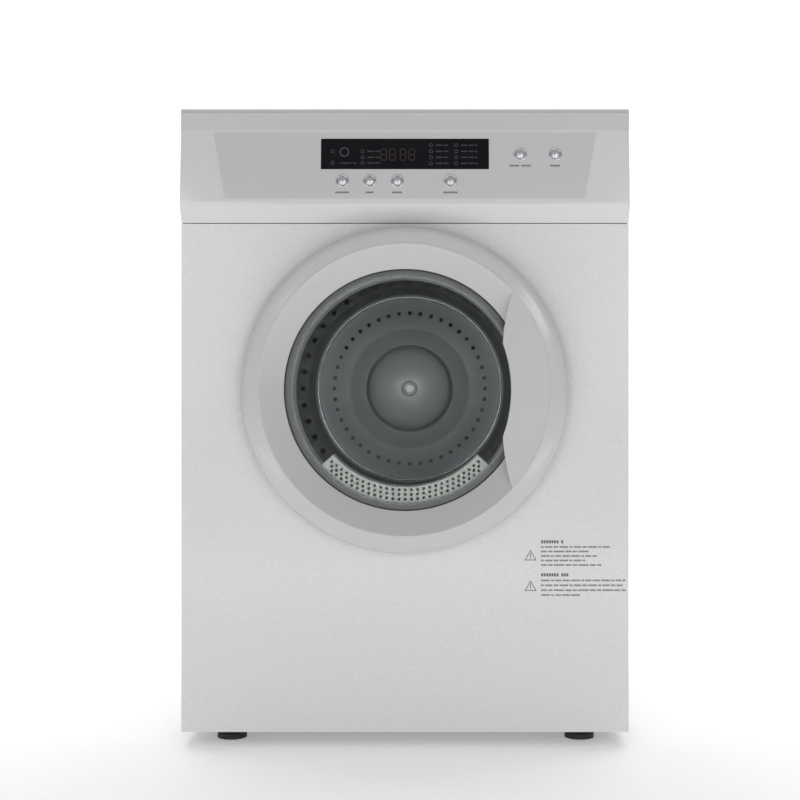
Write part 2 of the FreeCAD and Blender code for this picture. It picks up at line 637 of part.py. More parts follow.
def sector(name, half_angle, depth_range):
    """A wedge of the space under the drum's axis, open downward."""
    reach = "2*throat_radius"
    wedge = plate(name, [("0", "0"), (f"-{reach}*sin({half_angle})", f"-{reach}*cos({half_angle})"),
                         (f"{reach}*sin({half_angle})", f"-{reach}*cos({half_angle})")],
                  f"({depth_range[1]}) - ({depth_range[0]})")
    turn_piece(wedge, "90")
    settle(wedge, "0", behind(depth_range[1]), "drum_axis")
    return wedge


def make_lint_filter():
    """A perforated curved tray over the throat's floor and the lint screen that hangs below it."""
    seat = "throat_radius - touch_gap"
    crest = "grille_crest"
    turn = "filter_front + grille_slope"
    wall = "grille_wall"
    solid = turned("tray_curve", [(seat, "filter_front"), (crest, turn), (crest, "grille_back"),
                                  (seat, "grille_back")])
    room = turned("tray_room_curve",
                  [(f"{seat} + 1", f"filter_front + 1.5*{wall}"),
                   (f"{crest} + {wall}", f"{turn} + {wall}/2"),
                   (f"{crest} + {wall}", f"grille_back - {wall}"),
                   (f"{seat} + 1", f"grille_back - {wall}")])
    tray = cut("tray_shell", overlap("tray_solid", solid, sector("tray_ends", "grille_span", ("0", "90"))),
               overlap("tray_room", room, sector("tray_room_ends", "grille_span - 1", ("0", "90"))))
    frame = block("filter_frame", ("-filter_half", "filter_half"),
                  ("filter_front", "filter_front + filter_thick"),
                  ("filter_floor", "drum_axis - 100"))
    bore = rod("filter_bore", "throat_radius - 1", "0", "drum_axis", ("-10", "200"))
    panes = []
    for place in ("-1", "0", "1"):
        sides = (f"{place}*screen_pitch - screen_width/2", f"{place}*screen_pitch + screen_width/2")
        panes.append(block(f"filter_pane_{len(panes)}", sides,
                           ("filter_front - 1", "filter_front + filter_thick/2"),
                           ("filter_floor + screen_edge",
                            "drum_axis - throat_radius - screen_edge")))
        panes.append(block(f"filter_mouth_{len(panes)}", sides,
                           ("filter_front + frame_wall", "filter_front + filter_thick - frame_wall"),
                           ("filter_floor + 2*screen_edge", "drum_axis - 100")))
    framed = cut("filter_screen_frame", frame, bore, *panes)
    holes = []
    ring = f"{seat} - hole_inset"
    columns = int(value("hole_columns"))
    for line in range(int(value("hole_rows"))):
        for step in range(columns):
            angle = f"({step} - (hole_columns - 1)/2)*hole_spread"
            holes.append(rod(f"grille_hole_{line}_{step}", "grille_hole", f"({ring})*sin({angle})",
                             f"drum_axis - ({ring})*cos({angle}) + {line}*hole_lift",
                             ("filter_front - 2", f"{turn} + 2*{wall}")))
    keep(cut("filter_whole", join("filter_blank", tray, framed), *holes), "lint_filter")


# ---- drum ----
def drum_back_profile():
    """The stepped rear face, front side first and then the same corners one wall behind."""
    front = [("drum_radius - drum_wall", "annulus_depth"),
             ("step_radius + 15", "annulus_depth"), ("step_radius", "step_depth - 6"),
             ("step_radius - 3", "step_depth"), ("disc_radius", "disc_depth"),
             ("hub_groove", "disc_depth"), ("hub_groove - 3", "hub_depth"),
             ("shaft_radius + 1.5", "hub_depth")]
    back = [(radius, f"{depth} + drum_wall + 0.2") for radius, depth in reversed(front)]
    return front + back


def make_drum():
    shell = [("drum_radius - drum_wall", "annulus_depth + 20"),
             ("drum_radius", "annulus_depth + 20"), ("drum_radius", "drum_front"),
             ("neck_radius + drum_wall", "drum_front"), ("neck_radius + drum_wall", "neck_front"),
             ("neck_radius", "neck_front"), ("neck_radius", "drum_front + drum_wall"),
             ("drum_radius - drum_wall", "drum_front + drum_wall")]
    keep(turned("drum_cylinder", shell), "drum_shell")

    back = turned("drum_end", drum_back_profile())
    spots = []
    for count, circle, radius, label in (
            ("inner_holes", "inner_hole_circle", "inner_hole", "inner"),
            ("outer_holes", "outer_hole_circle", "outer_hole", "outer")):
        total = int(value(count))
        for step in range(total):
            angle = f"{step}*360/{total}"
            spots.append(rod(f"drum_{label}_hole_{step}", radius, f"{circle}*sin({angle})",
                             f"drum_axis + {circle}*cos({angle})",
                             ("annulus_depth - 10", "step_depth + 20")))
    keep(cut("drum_end_pierced", back, *spots), "drum_back")

    vanes = []
    total = int(value("lifter_count"))
    for step in range(total):
        vane = plate(f"lifter_{step}",
                     [("-lifter_base/2", "drum_radius - drum_wall + 5"),
                      ("-lifter_crest/2", "drum_radius - drum_wall - lifter_height"),
                      ("lifter_crest/2", "drum_radius - drum_wall - lifter_height"),
                      ("lifter_base/2", "drum_radius - drum_wall + 5")], "lifter_length")
        tip = FreeCAD.Rotation(FreeCAD.Vector(0, 1, 0), 360.0*step/total)
        lay = FreeCAD.Rotation(FreeCAD.Vector(1, 0, 0), 90)
        vane.Placement = FreeCAD.Placement(FreeCAD.Vector(), tip.multiply(lay))
        settle(vane, "0", behind("drum_front + 20 + lifter_length"), "drum_axis")
        inside = rod(f"lifter_bed_{step}", "drum_radius - drum_wall", "0", "drum_axis",
                     ("drum_front", "annulus_depth"))
        vanes.append(overlap(f"lifter_fitted_{step}", vane, inside))
    keep(group("lifter_set", vanes), "drum_lifters")

    plate_back = "hub_depth + drum_wall + 0.2"
    stub_front = "hub_depth - hub_height + 12"
    keep(turned("shaft_turned",
                [("screw_radius", stub_front), ("shaft_radius - 1", stub_front),
                 ("shaft_radius - 1", plate_back), ("shaft_flange", plate_back),
                 ("shaft_flange", f"{plate_back} + 4"), ("shaft_radius", f"{plate_back} + 4"),
                 ("shaft_radius", "shaft_end"), ("0", "shaft_end"),
                 ("0", f"{stub_front} + 22"), ("screw_radius", f"{stub_front} + 22")]),
         "drum_shaft")
    crown = "hub_depth - hub_height"
    keep(turned("hub_dome",
                [("screw_radius", f"{stub_front} - 2"), ("screw_head + 3", f"{stub_front} - 2"),
                 ("screw_head + 5", f"{crown} + 1"), ("hub_radius/2", crown),
                 ("hub_radius*0.75", f"{crown} + 5"), ("hub_radius*0.93", f"{crown} + 17"),
                 ("hub_radius", f"{crown} + 29"), ("hub_radius", "hub_depth"),
                 ("hub_radius - 2", "hub_depth"), ("hub_radius - 2", f"{crown} + 29.5"),
                 ("hub_radius*0.93 - 2", f"{crown} + 18"), ("hub_radius*0.75 - 1", f"{crown} + 7"),
                 ("hub_radius/2", f"{crown} + 2"), ("screw_head + 7", f"{crown} + 3"),
                 ("screw_head + 4.5", stub_front), ("screw_radius", stub_front)]), "hub_cover")
    keep(turned("screw_turned",
                [("0", f"{stub_front} - 7"), ("screw_head", f"{stub_front} - 7"),
                 ("screw_head", f"{stub_front} - 2"), ("screw_radius", f"{stub_front} - 2"),
                 ("screw_radius", f"{stub_front} + 18"), ("0", f"{stub_front} + 18")]),
         "hub_screw")


# ---- rear: heater, bearing, exhaust, terminals ----
def make_rear():
    depth = "rear_bulkhead_depth"
    wall = f"{depth} + bulkhead_thick"
    sheet_body = block("rear_bulk_blank", ("-inner_x", "inner_x"), (depth, wall),
                       ("pan_rim", "case_top - 20"))
    shaft_hole = rod("rear_bulk_shaft", "shaft_radius + 6", "0", "drum_axis",
                     (f"{depth} - 5", f"{depth} + 9"))
    air_hole = block("rear_bulk_air", ("-heater_width/2 + 30", "heater_width/2 - 30"),
                     (f"{depth} - 5", f"{depth} + 9"), ("heater_base + 20", "heater_base + 110"))
    duct_hole = rod("rear_bulk_duct", "duct_radius", "collar_x", "collar_z",
                    (f"{depth} - 5", f"{depth} + 9"))
    keep(cut("rear_bulk_sheet", sheet_body, shaft_hole, air_hole, duct_hole), "rear_bulkhead")

    bar = block("bearing_bar", ("-bearing_width/2", "bearing_width/2"), (wall, f"{wall} + bearing_thick"),
                ("drum_axis - bearing_height/2", "drum_axis + bearing_height/2"))
    boss = rod("bearing_boss_rod", "bearing_boss", "0", "drum_axis", (wall, "shaft_end - 5"))
    bore = rod("bearing_bore", "shaft_radius + run_gap", "0", "drum_axis",
               (f"{depth} - 5", "shaft_end + 5"))
    keep(cut("bearing_body", join("bearing_blank", bar, boss), bore), "bearing_bracket")

    box = block("heater_blank", ("-heater_width/2", "heater_width/2"),
                (wall, f"{wall} + heater_deep"), ("heater_base", "heater_base + heater_height"))
    room = block("heater_room", ("-heater_width/2 + steel", "heater_width/2 - steel"),
                 (f"{depth} - 1", f"{wall} + heater_deep - steel"),
                 ("heater_base + steel", "heater_base + heater_height - steel"))
    inlet = block("heater_inlet", ("-90", "90"), (f"{wall} + 20", f"{wall} + heater_deep + 5"),
                  ("heater_base + heater_height - 60", "heater_base + heater_height - 20"))
    keep(cut("heater_shell", box, room, inlet), "heater_box")
    rods = []
    for step in range(int(value("rod_count"))):
        element = doc.addObject("Part::Cylinder", f"heater_rod_{step}")
        element.Placement = FreeCAD.Placement(FreeCAD.Vector(),
                                              FreeCAD.Rotation(FreeCAD.Vector(0, 1, 0), 90))
        bind(element, Radius="rod_radius", Height="heater_width - 2*steel")
        settle(element, "-heater_width/2 + steel", behind(f"{wall} + heater_deep/2"),
               f"heater_base + rod_rise + {step}*rod_pitch")
        rods.append(element)
    keep(group("heater_rod_set", rods), "heater_rods")

    back = "body_depth"
    spigot = rod("collar_spigot", "collar_radius", "collar_x", "collar_z",
                 (f"{back} - 15", f"{back} + collar_proud"))
    flange = block("collar_flange", ("collar_x - collar_radius - 8", "collar_x + collar_radius + 8"),
                   (back, f"{back} + 2"),
                   ("collar_z - collar_radius - 8", "collar_z + collar_radius + 8"))
    duct = rod("collar_bore", "collar_radius - collar_wall", "collar_x", "collar_z",
               (f"{back} - 30", f"{back} + collar_proud + 5"))
    keep(cut("collar_body", join("collar_blank", spigot, flange), duct), "exhaust_collar")

    cover = block("terminal_blank", ("terminal_x - terminal_width/2", "terminal_x + terminal_width/2"),
                  (back, f"{back} + terminal_proud"),
                  ("terminal_z - terminal_height/2", "terminal_z + terminal_height/2"))
    room = block("terminal_room",
                 ("terminal_x - terminal_width/2 + cover_wall",
                  "terminal_x + terminal_width/2 - cover_wall"),
                 (f"{back} - 1", f"{back} + terminal_proud - cover_wall"),
                 ("terminal_z - terminal_height/2 + cover_wall",
                  "terminal_z + terminal_height/2 - cover_wall"))
    inlet = post("terminal_gland", "gland_radius - 1", "terminal_x",
                 f"{back} + terminal_proud/2 - 1",
                 ("terminal_z - terminal_height/2 - 5", "terminal_z"))
    keep(cut("terminal_shell", cover, room, inlet), "mains_terminal_cover")


# ---- drive ----
def make_blower():
    front = "blower_front"
    back = "blower_front + blower_deep"
    scroll = rod("scroll_outer", "blower_radius", "motor_x", "motor_z", (front, back))
    plenum = block("plenum_outer", ("collar_x - duct_radius", "motor_x"), (front, back),
                   ("collar_z - duct_radius", "collar_z + duct_radius"))
    duct = rod("duct_outer", "duct_radius", "collar_x", "collar_z", (front, "body_depth - 16"))
    scroll_in = rod("scroll_inner", "blower_radius - duct_wall", "motor_x", "motor_z",
                    (f"{front} + duct_wall", f"{back} - duct_wall"))
    plenum_in = block("plenum_inner", ("collar_x - duct_radius + duct_wall", "motor_x"),
                      (f"{front} + duct_wall", f"{back} - duct_wall"),
                      ("collar_z - duct_radius + duct_wall",
                       "collar_z + duct_radius - duct_wall"))
    duct_in = rod("duct_inner", "duct_radius - duct_wall", "collar_x", "collar_z",
                  (f"{front} + duct_wall", "body_depth"))
    intake = rod("scroll_intake", "duct_radius", "motor_x", "motor_z",
                 (f"{front} - 1", f"{front} + 5"))
    shaft_hole = rod("scroll_shaft", "rotor_radius + 2", "motor_x", "motor_z",
                     (f"{back} - 5", f"{back} + 5"))
    keep(cut("blower_shell", join("blower_blank", scroll, plenum, duct),
             scroll_in, plenum_in, duct_in, intake, shaft_hole), "blower_housing")
    hub = rod("impeller_middle", "impeller_hub", "motor_x", "motor_z", (f"{front} + 14", f"{back} - 4"))
    disc = rod("impeller_disc", "impeller_radius", "motor_x", "motor_z",
               (f"{back} - 8", f"{back} - 4"))
    blades = []
    total = int(value("blade_count"))
    for step in range(total):
        vane = doc.addObject("Part::Box", f"impeller_blade_{step}")
        bind(vane, Length="blade_reach", Width=f"({back} - 8) - ({front} + 10)",
             Height="blade_thick")
        vane.Placement = FreeCAD.Placement(
            FreeCAD.Vector(), FreeCAD.Rotation(FreeCAD.Vector(0, 1, 0), -360.0*step/total))
        angle = f"{step}*360/blade_count"
        settle(vane, f"motor_x + blade_root*cos({angle})", behind(f"{front} + 10"),
               f"motor_z + blade_root*sin({angle})")
        blades.append(vane)
    shaft_way = rod("impeller_bore", "rotor_radius", "motor_x", "motor_z", ("0", "200"))
    keep(cut("impeller", join("impeller_blank", hub, disc, *blades), shaft_way), "blower_wheel")


def belt_line():
    """Unit normal of the belt's left run and the points where it leaves drum and pulley."""
    drum = FreeCAD.Vector(0, 0, value("drum_axis"))
    pulley = FreeCAD.Vector(value("motor_x"), 0, value("motor_z"))
    along = pulley - drum
    span = along.Length
    along = along/span
    lean = (value("belt_inner") - value("belt_pulley"))/span
    side = FreeCAD.Vector(along.z, 0, -along.x)
    normals = [along*lean + side*(sign*math.sqrt(1 - lean**2)) for sign in (1, -1)]
    return drum, pulley, normals


def belt_loop(extra):
    drum, pulley, (left, right) = belt_line()
    big = value("belt_inner") + extra
    small = value("belt_pulley") + extra
    over = Part.Arc(drum + left*big, drum + FreeCAD.Vector(0, 0, big), drum + right*big)
    under = pulley + (pulley - drum).normalize()*small
    down = Part.LineSegment(drum + right*big, pulley + right*small)
    around = Part.Arc(pulley + right*small, under, pulley + left*small)
    up = Part.LineSegment(pulley + left*small, drum + left*big)
    return Part.Face(Part.Wire([curve.toShape() for curve in (over, down, around, up)]))


def make_motor():
    keep(cut("motor_case", rod("motor_blank", "motor_radius", "motor_x", "motor_z",
                               ("motor_front", "motor_front + motor_length")),
             rod("motor_bore", "rotor_radius + run_gap", "motor_x", "motor_z",
                 ("motor_front - 5", "motor_front + motor_length + 5"))), "motor_body")
    bed = block("mount_bed", ("arm_pivot_x - 14", "motor_x + motor_radius"),
                ("motor_front", "belt_depth + 30"), ("floor_z", "floor_z + 3"))
    saddles = [block(f"mount_saddle_{index}", ("motor_x - 40", "motor_x + 40"),
                     (f"motor_front + {start}", f"motor_front + {start} + 12"),
                     ("floor_z", "motor_z - 30"))
               for index, start in enumerate((10, 100))]
    ear = block("mount_ear", ("arm_pivot_x - 14", "arm_pivot_x + 14"),
                ("belt_depth + belt_width + 10", "belt_depth + belt_width + 14"),
                ("floor_z", "arm_pivot_z + 12"))
    stud = rod("mount_stud", "axle_radius", "arm_pivot_x", "arm_pivot_z",
               ("belt_depth + belt_width + 1", "belt_depth + belt_width + 14"))
    cradle = rod("mount_cradle", "motor_radius", "motor_x", "motor_z",
                 ("motor_front - 5", "motor_front + motor_length + 5"))
    keep(cut("mount_body", join("mount_blank", bed, *saddles, ear, stud), cradle), "motor_mount")

    shaft = rod("rotor_rod", "rotor_radius", "motor_x", "motor_z",
                ("blower_front + 20", "belt_depth + belt_width + 6"))
    wheel = rod("rotor_pulley", "pulley_radius", "motor_x", "motor_z",
                ("belt_depth - 3", "belt_depth + belt_width + 3"))
    keep(join("rotor_body", shaft, wheel), "motor_shaft")

    belt = doc.addObject("Part::Feature", "belt_band")
    outer = belt_loop(value("belt_thick"))
    inner = belt_loop(0)
    belt.Shape = outer.cut(inner).extrude(FreeCAD.Vector(0, value("belt_width"), 0))
    settle(belt, "0", behind("belt_depth"), "0")
    keep(belt, "drive_belt")


def make_idler():
    """A sprung lever whose wheel bears on the belt's left run from outside."""
    side = ("lever_side", "lever_side + lever_thick")
    keep(cut("idler_rim", rod("idler_blank", "idler_radius", "idler_x", "idler_z",
                              ("belt_depth - 1", "belt_depth + belt_width + 1")),
             rod("idler_bore", "axle_radius + run_gap", "idler_x", "idler_z",
                 ("belt_depth - 5", "belt_depth + belt_width + 5"))), "idler_wheel")
    reach_x = value("idler_x - arm_pivot_x")
    reach_z = value("idler_z - arm_pivot_z")
    lever = doc.addObject("Part::Box", "idler_lever")
    lean = math.degrees(math.atan2(reach_z, reach_x))
    lever.Placement = FreeCAD.Placement(FreeCAD.Vector(),
                                        FreeCAD.Rotation(FreeCAD.Vector(0, 1, 0), -lean))
    bind(lever, Length="sqrt((idler_x - arm_pivot_x)^2 + (idler_z - arm_pivot_z)^2)",
         Width="lever_thick", Height="2*lever_end")
    settle(lever, f"arm_pivot_x + lever_end*sin({lean})", behind(side[0]),
           f"arm_pivot_z - lever_end*cos({lean})")
    eye = rod("idler_eye", "lever_eye", "arm_pivot_x", "arm_pivot_z", side)
    end = rod("idler_end", "lever_end", "idler_x", "idler_z", side)
    axle = rod("idler_axle", "axle_radius", "idler_x", "idler_z",
               ("belt_depth - 1", "lever_side"))
    bore = rod("idler_arm_bore", "axle_radius + run_gap", "arm_pivot_x", "arm_pivot_z",
               ("belt_depth", "belt_depth + belt_width + 20"))
    keep(cut("idler_lever_body", join("idler_lever_blank", lever, eye, end, axle), bore),
         "idler_arm")


def make_rollers():
    away = "drum_radius + touch_gap + roller_radius"
    axles = []
    for label, side in (("left_roller", "-1"), ("right_roller", "1")):
        x = f"{side}*({away})*sin(roller_angle)"
        z = f"drum_axis - ({away})*cos(roller_angle)"
        ends = ("roller_depth", "roller_depth + roller_width")
        keep(cut(label + "_tyre", rod(label + "_blank", "roller_radius", x, z, ends),
                 rod(label + "_bore", "axle_radius + run_gap", x, z,
                     ("roller_depth - 5", "roller_depth + roller_width + 5"))), label)
        spindle = rod(label + "_axle", "axle_radius", x, z,
                      ("bulkhead_depth + bulkhead_thick", "roller_depth + roller_width + 3"))
        shoulder = rod(label + "_shoulder", "shoulder_radius", x, z,
                       ("bulkhead_depth + bulkhead_thick", "roller_depth - 1"))
        axles.append(join(label + "_spindle", spindle, shoulder))
    keep(group("roller_axle_set", axles), "roller_axles")


make_base_pan()
make_feet()
make_side_panels()
make_front_panel()
make_rear_panel()
make_worktop()
make_fascia()
make_door_frame()
make_door_handle()
make_door_inside()
make_hinge()
make_latch()
make_throat()
make_filter_housing()
make_lint_filter()
make_drum()
make_rear()
make_blower()
make_motor()
make_idler()
make_rollers()
doc.recompute()

# ---- check, then write ----
faults = [thing.Name for thing in doc.Objects
          if "Invalid" in thing.State or "Error" in thing.State]
for node in nodes:
    if node.Shape.isNull() or not node.Shape.isValid() or not node.Shape.Solids:
        faults.append(node.Label)
if faults:
    raise SystemExit("failed pieces: " + ", ".join(faults))
for node in nodes:
    node.Shape.exportStep(f"parts/{node.Label}.step")
    box = node.Shape.BoundBox
    print(f"{node.Label:24s} {len(node.Shape.Solids)} solids {node.Shape.Volume/1000:9.1f} cm3 "
          f"x {box.XMin:7.1f} {box.XMax:7.1f}  y {box.YMin:7.1f} {box.YMax:7.1f}  "
          f"z {box.ZMin:6.1f} {box.ZMax:6.1f}")
print(len(nodes), "nodes")
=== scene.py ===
import math

import bpy
from mathutils import Matrix, Vector


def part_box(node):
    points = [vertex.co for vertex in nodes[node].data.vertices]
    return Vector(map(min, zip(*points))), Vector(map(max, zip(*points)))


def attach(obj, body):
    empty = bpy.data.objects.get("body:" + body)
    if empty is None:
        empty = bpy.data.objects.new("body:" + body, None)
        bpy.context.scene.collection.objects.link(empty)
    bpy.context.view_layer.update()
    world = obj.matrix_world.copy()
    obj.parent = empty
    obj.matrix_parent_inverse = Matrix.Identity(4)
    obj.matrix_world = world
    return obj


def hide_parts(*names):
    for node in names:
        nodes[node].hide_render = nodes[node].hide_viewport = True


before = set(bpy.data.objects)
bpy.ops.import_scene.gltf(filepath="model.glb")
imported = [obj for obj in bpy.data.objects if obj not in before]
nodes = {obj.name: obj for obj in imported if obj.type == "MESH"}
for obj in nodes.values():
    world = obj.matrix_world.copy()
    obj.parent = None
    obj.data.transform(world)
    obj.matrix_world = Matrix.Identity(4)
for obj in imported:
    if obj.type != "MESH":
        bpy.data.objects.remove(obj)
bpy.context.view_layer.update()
print("frame loaded:", len(nodes), "nodes")

mm = 0.001
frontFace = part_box("front_panel")[0].y          # the steel front's outer face
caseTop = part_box("control_fascia")[1].z
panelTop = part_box("front_panel")[1].z
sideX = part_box("front_panel")[1].x
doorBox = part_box("door_frame")
drumAxis = (doorBox[0].z + doorBox[1].z) / 2
doorRadius = (doorBox[1].z - doorBox[0].z) / 2
fasciaTilt = math.radians(7)
fasciaSet = 2 * mm
seamGap = 0.005 * mm                            # corners closer than this are one corner
thinEdge = 0.002 * mm
markLift = 0.06                                 # printed marks stand this many millimetres off their face


def clearSelection():
    if bpy.context.object and bpy.context.object.mode != "OBJECT":
        bpy.ops.object.mode_set(mode="OBJECT")
    bpy.ops.object.select_all(action="DESELECT")


def makeActive(piece):
    clearSelection()
    piece.select_set(True)
    bpy.context.view_layer.objects.active = piece


def applyModifiers(piece):
    makeActive(piece)
    for modifier in list(piece.modifiers):
        bpy.ops.object.modifier_apply(modifier=modifier.name)


def roundEdges(piece, width, segments=3, angle=28):
    bevel = piece.modifiers.new("softEdges", "BEVEL")
    bevel.width = width
    bevel.segments = segments
    bevel.limit_method = "ANGLE"
    bevel.angle_limit = math.radians(angle)
    bevel.use_clamp_overlap = True
    bevel.harden_normals = False
    applyModifiers(piece)


def smoothByAngle(piece, angle=35):
    # big flats keep their own direction, so only the rounded edges blend
    makeActive(piece)
    bpy.ops.object.shade_smooth_by_angle(angle=math.radians(angle))
    lean = piece.modifiers.new("flatsFirst", "WEIGHTED_NORMAL")
    lean.keep_sharp = True
    lean.weight = 100
    applyModifiers(piece)


def pickEdges(piece, wanted):
    # into edit mode with only the edges whose two ends pass the test
    makeActive(piece)
    bpy.ops.object.mode_set(mode="EDIT")
    bpy.ops.mesh.select_mode(type="EDGE")
    bpy.ops.mesh.select_all(action="DESELECT")
    bpy.ops.object.mode_set(mode="OBJECT")
    for edge in piece.data.edges:
        edge.select = wanted([piece.data.vertices[index].co for index in edge.vertices])
    bpy.ops.object.mode_set(mode="EDIT")


def settlePlace(piece):
    makeActive(piece)
    bpy.ops.object.transform_apply(location=True, rotation=True, scale=True)


def softenedPiece(name, node, body, material, width, segments=2, angle=28, smooth=35):
    # the CAD piece's own shape, its seams welded and its edges rounded over
    piece = bpy.data.objects.new(name, nodes[node].data.copy())
    bpy.context.scene.collection.objects.link(piece)
    piece.data.materials.clear()
    piece.data.materials.append(material)
    makeActive(piece)
    bpy.ops.object.mode_set(mode="EDIT")
    bpy.ops.mesh.select_all(action="SELECT")
    bpy.ops.mesh.remove_doubles(threshold=0.00001)
    bpy.ops.mesh.customdata_custom_splitnormals_clear()
    bpy.ops.mesh.dissolve_limited(angle_limit=math.radians(0.6))
    bpy.ops.object.mode_set(mode="OBJECT")
    if width:
        roundEdges(piece, width, segments, angle)
    smoothByAngle(piece, smooth)
    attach(piece, body)
    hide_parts(node)
    return piece


def finishPiece(piece, name, body, material, replaced=()):
    piece.name = name
    piece.data.materials.clear()
    piece.data.materials.append(material)
    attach(piece, body)
    if replaced:
        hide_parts(*replaced)
    return piece


def chainProfile(points):
    # one vertex, extruded from corner to corner
    clearSelection()
    bpy.ops.mesh.primitive_plane_add(size=0.001)
    piece = bpy.context.object
    bpy.ops.object.mode_set(mode="EDIT")
    bpy.ops.mesh.select_mode(type="VERT")
    bpy.ops.mesh.select_all(action="SELECT")
    bpy.ops.mesh.merge(type="CENTER")
    bpy.ops.transform.translate(value=points[0])
    for before, after in zip(points, points[1:]):
        bpy.ops.mesh.extrude_region_move(TRANSFORM_OT_translate={"value": after - before})
    bpy.ops.object.mode_set(mode="OBJECT")
    return piece


def closeProfile(piece):
    bpy.ops.object.mode_set(mode="OBJECT")
    count = len(piece.data.vertices)
    for index, vertex in enumerate(piece.data.vertices):
        vertex.select = index in (0, count - 1)
    bpy.ops.object.mode_set(mode="EDIT")
    bpy.ops.mesh.edge_face_add()
    bpy.ops.object.mode_set(mode="OBJECT")


def spinRound(profilePiece, steps, centre, axis):
    # close the profile and turn it once round, ready to be cleaned in edit mode
    closeProfile(profilePiece)
    makeActive(profilePiece)
    bpy.ops.object.mode_set(mode="EDIT")
    bpy.ops.mesh.select_all(action="SELECT")
    bpy.ops.mesh.spin(steps=steps, angle=math.radians(360), center=centre, axis=axis)
    bpy.ops.mesh.select_all(action="SELECT")
    bpy.ops.mesh.remove_doubles(threshold=seamGap)


def spunPiece(profile, steps):
    # (radius, depth behind the front face) corners in millimetres, spun about the drum's axis
    piece = chainProfile([Vector((r * mm, frontFace + d * mm, drumAxis)) for r, d in profile])
    spinRound(piece, steps, (0, 0, drumAxis), (0, 1, 0))
    bpy.ops.mesh.normals_make_consistent(inside=False)
    bpy.ops.object.mode_set(mode="OBJECT")
    return piece


def spunOnFascia(profile, x, drop, steps=64):
    # (radius, height off the fascia) corners in millimetres, spun about the fascia's own normal
    piece = chainProfile([Vector((r * mm, 0, out * mm)) for r, out in profile])
    spinRound(piece, steps, (0, 0, 0), (0, 0, 1))
    bpy.ops.mesh.dissolve_degenerate(threshold=thinEdge)
    bpy.ops.mesh.normals_make_consistent(inside=False)
    bpy.ops.object.mode_set(mode="OBJECT")
    lean = Matrix.Rotation(math.radians(90) - fasciaTilt, 4, "X")
    piece.matrix_world = (Matrix.Translation((0, frontFace - fasciaSet, caseTop)) @ lean
                          @ Matrix.Translation((x * mm, -drop * mm, 0)))
    settlePlace(piece)
    return piece


def newGroup(name, inputs, outputs):
    group = bpy.data.node_groups.new(name, "ShaderNodeTree")
    for label, kind, start in inputs:
        socket = group.interface.new_socket(label, in_out="INPUT", socket_type=kind)
        if start is not None:
            socket.default_value = start
    for label, kind in outputs:
        group.interface.new_socket(label, in_out="OUTPUT", socket_type=kind)
    return group, group.nodes.new("NodeGroupInput"), group.nodes.new("NodeGroupOutput")


def addNode(tree, kind, **settings):
    node = tree.nodes.new(kind)
    for field, setting in settings.items():
        if field in node.inputs:
            node.inputs[field].default_value = setting
        else:
            setattr(node, field, setting)
    return node


def addRange(tree, fromMin, fromMax, toMin, toMax):
    node = tree.nodes.new("ShaderNodeMapRange")
    for label, setting in zip(("From Min", "From Max", "To Min", "To Max"), (fromMin, fromMax, toMin, toMax)):
        node.inputs[label].default_value = setting
    return node


def buildMouldGrain():
    # a fine pebble, and slow clouds for unevenness
    group, start, end = newGroup("mouldGrain",
                                 [("Vector", "NodeSocketVector", None), ("Grain Scale", "NodeSocketFloat", 900.0),
                                  ("Cloud Scale", "NodeSocketFloat", 6.0)],
                                 [("Grain", "NodeSocketFloat"), ("Cloud", "NodeSocketFloat")])
    fine = addNode(group, "ShaderNodeTexNoise", Detail=3.0, Roughness=0.6)
    slow = addNode(group, "ShaderNodeTexNoise", Detail=2.0, Roughness=0.5)
    group.links.new(start.outputs["Vector"], fine.inputs["Vector"])
    group.links.new(start.outputs["Vector"], slow.inputs["Vector"])
    group.links.new(start.outputs["Grain Scale"], fine.inputs["Scale"])
    group.links.new(start.outputs["Cloud Scale"], slow.inputs["Scale"])
    group.links.new(fine.outputs["Fac"], end.inputs["Grain"])
    group.links.new(slow.outputs["Fac"], end.inputs["Cloud"])
    return group


def buildEdgeWear():
    # rubbed outer edges, broken up by noise
    group, start, end = newGroup("edgeWear",
                                 [("Vector", "NodeSocketVector", None), ("Amount", "NodeSocketFloat", 0.5)],
                                 [("Mask", "NodeSocketFloat")])
    shape = addNode(group, "ShaderNodeNewGeometry")
    ramp = addRange(group, 0.52, 0.60, 0.0, 1.0)
    patches = addNode(group, "ShaderNodeTexNoise", Scale=35.0, Detail=4.0)
    rub = addNode(group, "ShaderNodeMath", operation="MULTIPLY")
    scale = addNode(group, "ShaderNodeMath", operation="MULTIPLY")
    group.links.new(shape.outputs["Pointiness"], ramp.inputs["Value"])
    group.links.new(start.outputs["Vector"], patches.inputs["Vector"])
    group.links.new(ramp.outputs["Result"], rub.inputs[0])
    group.links.new(patches.outputs["Fac"], rub.inputs[1])
    group.links.new(rub.outputs[0], scale.inputs[0])
    group.links.new(start.outputs["Amount"], scale.inputs[1])
    group.links.new(scale.outputs[0], end.inputs["Mask"])
    return group


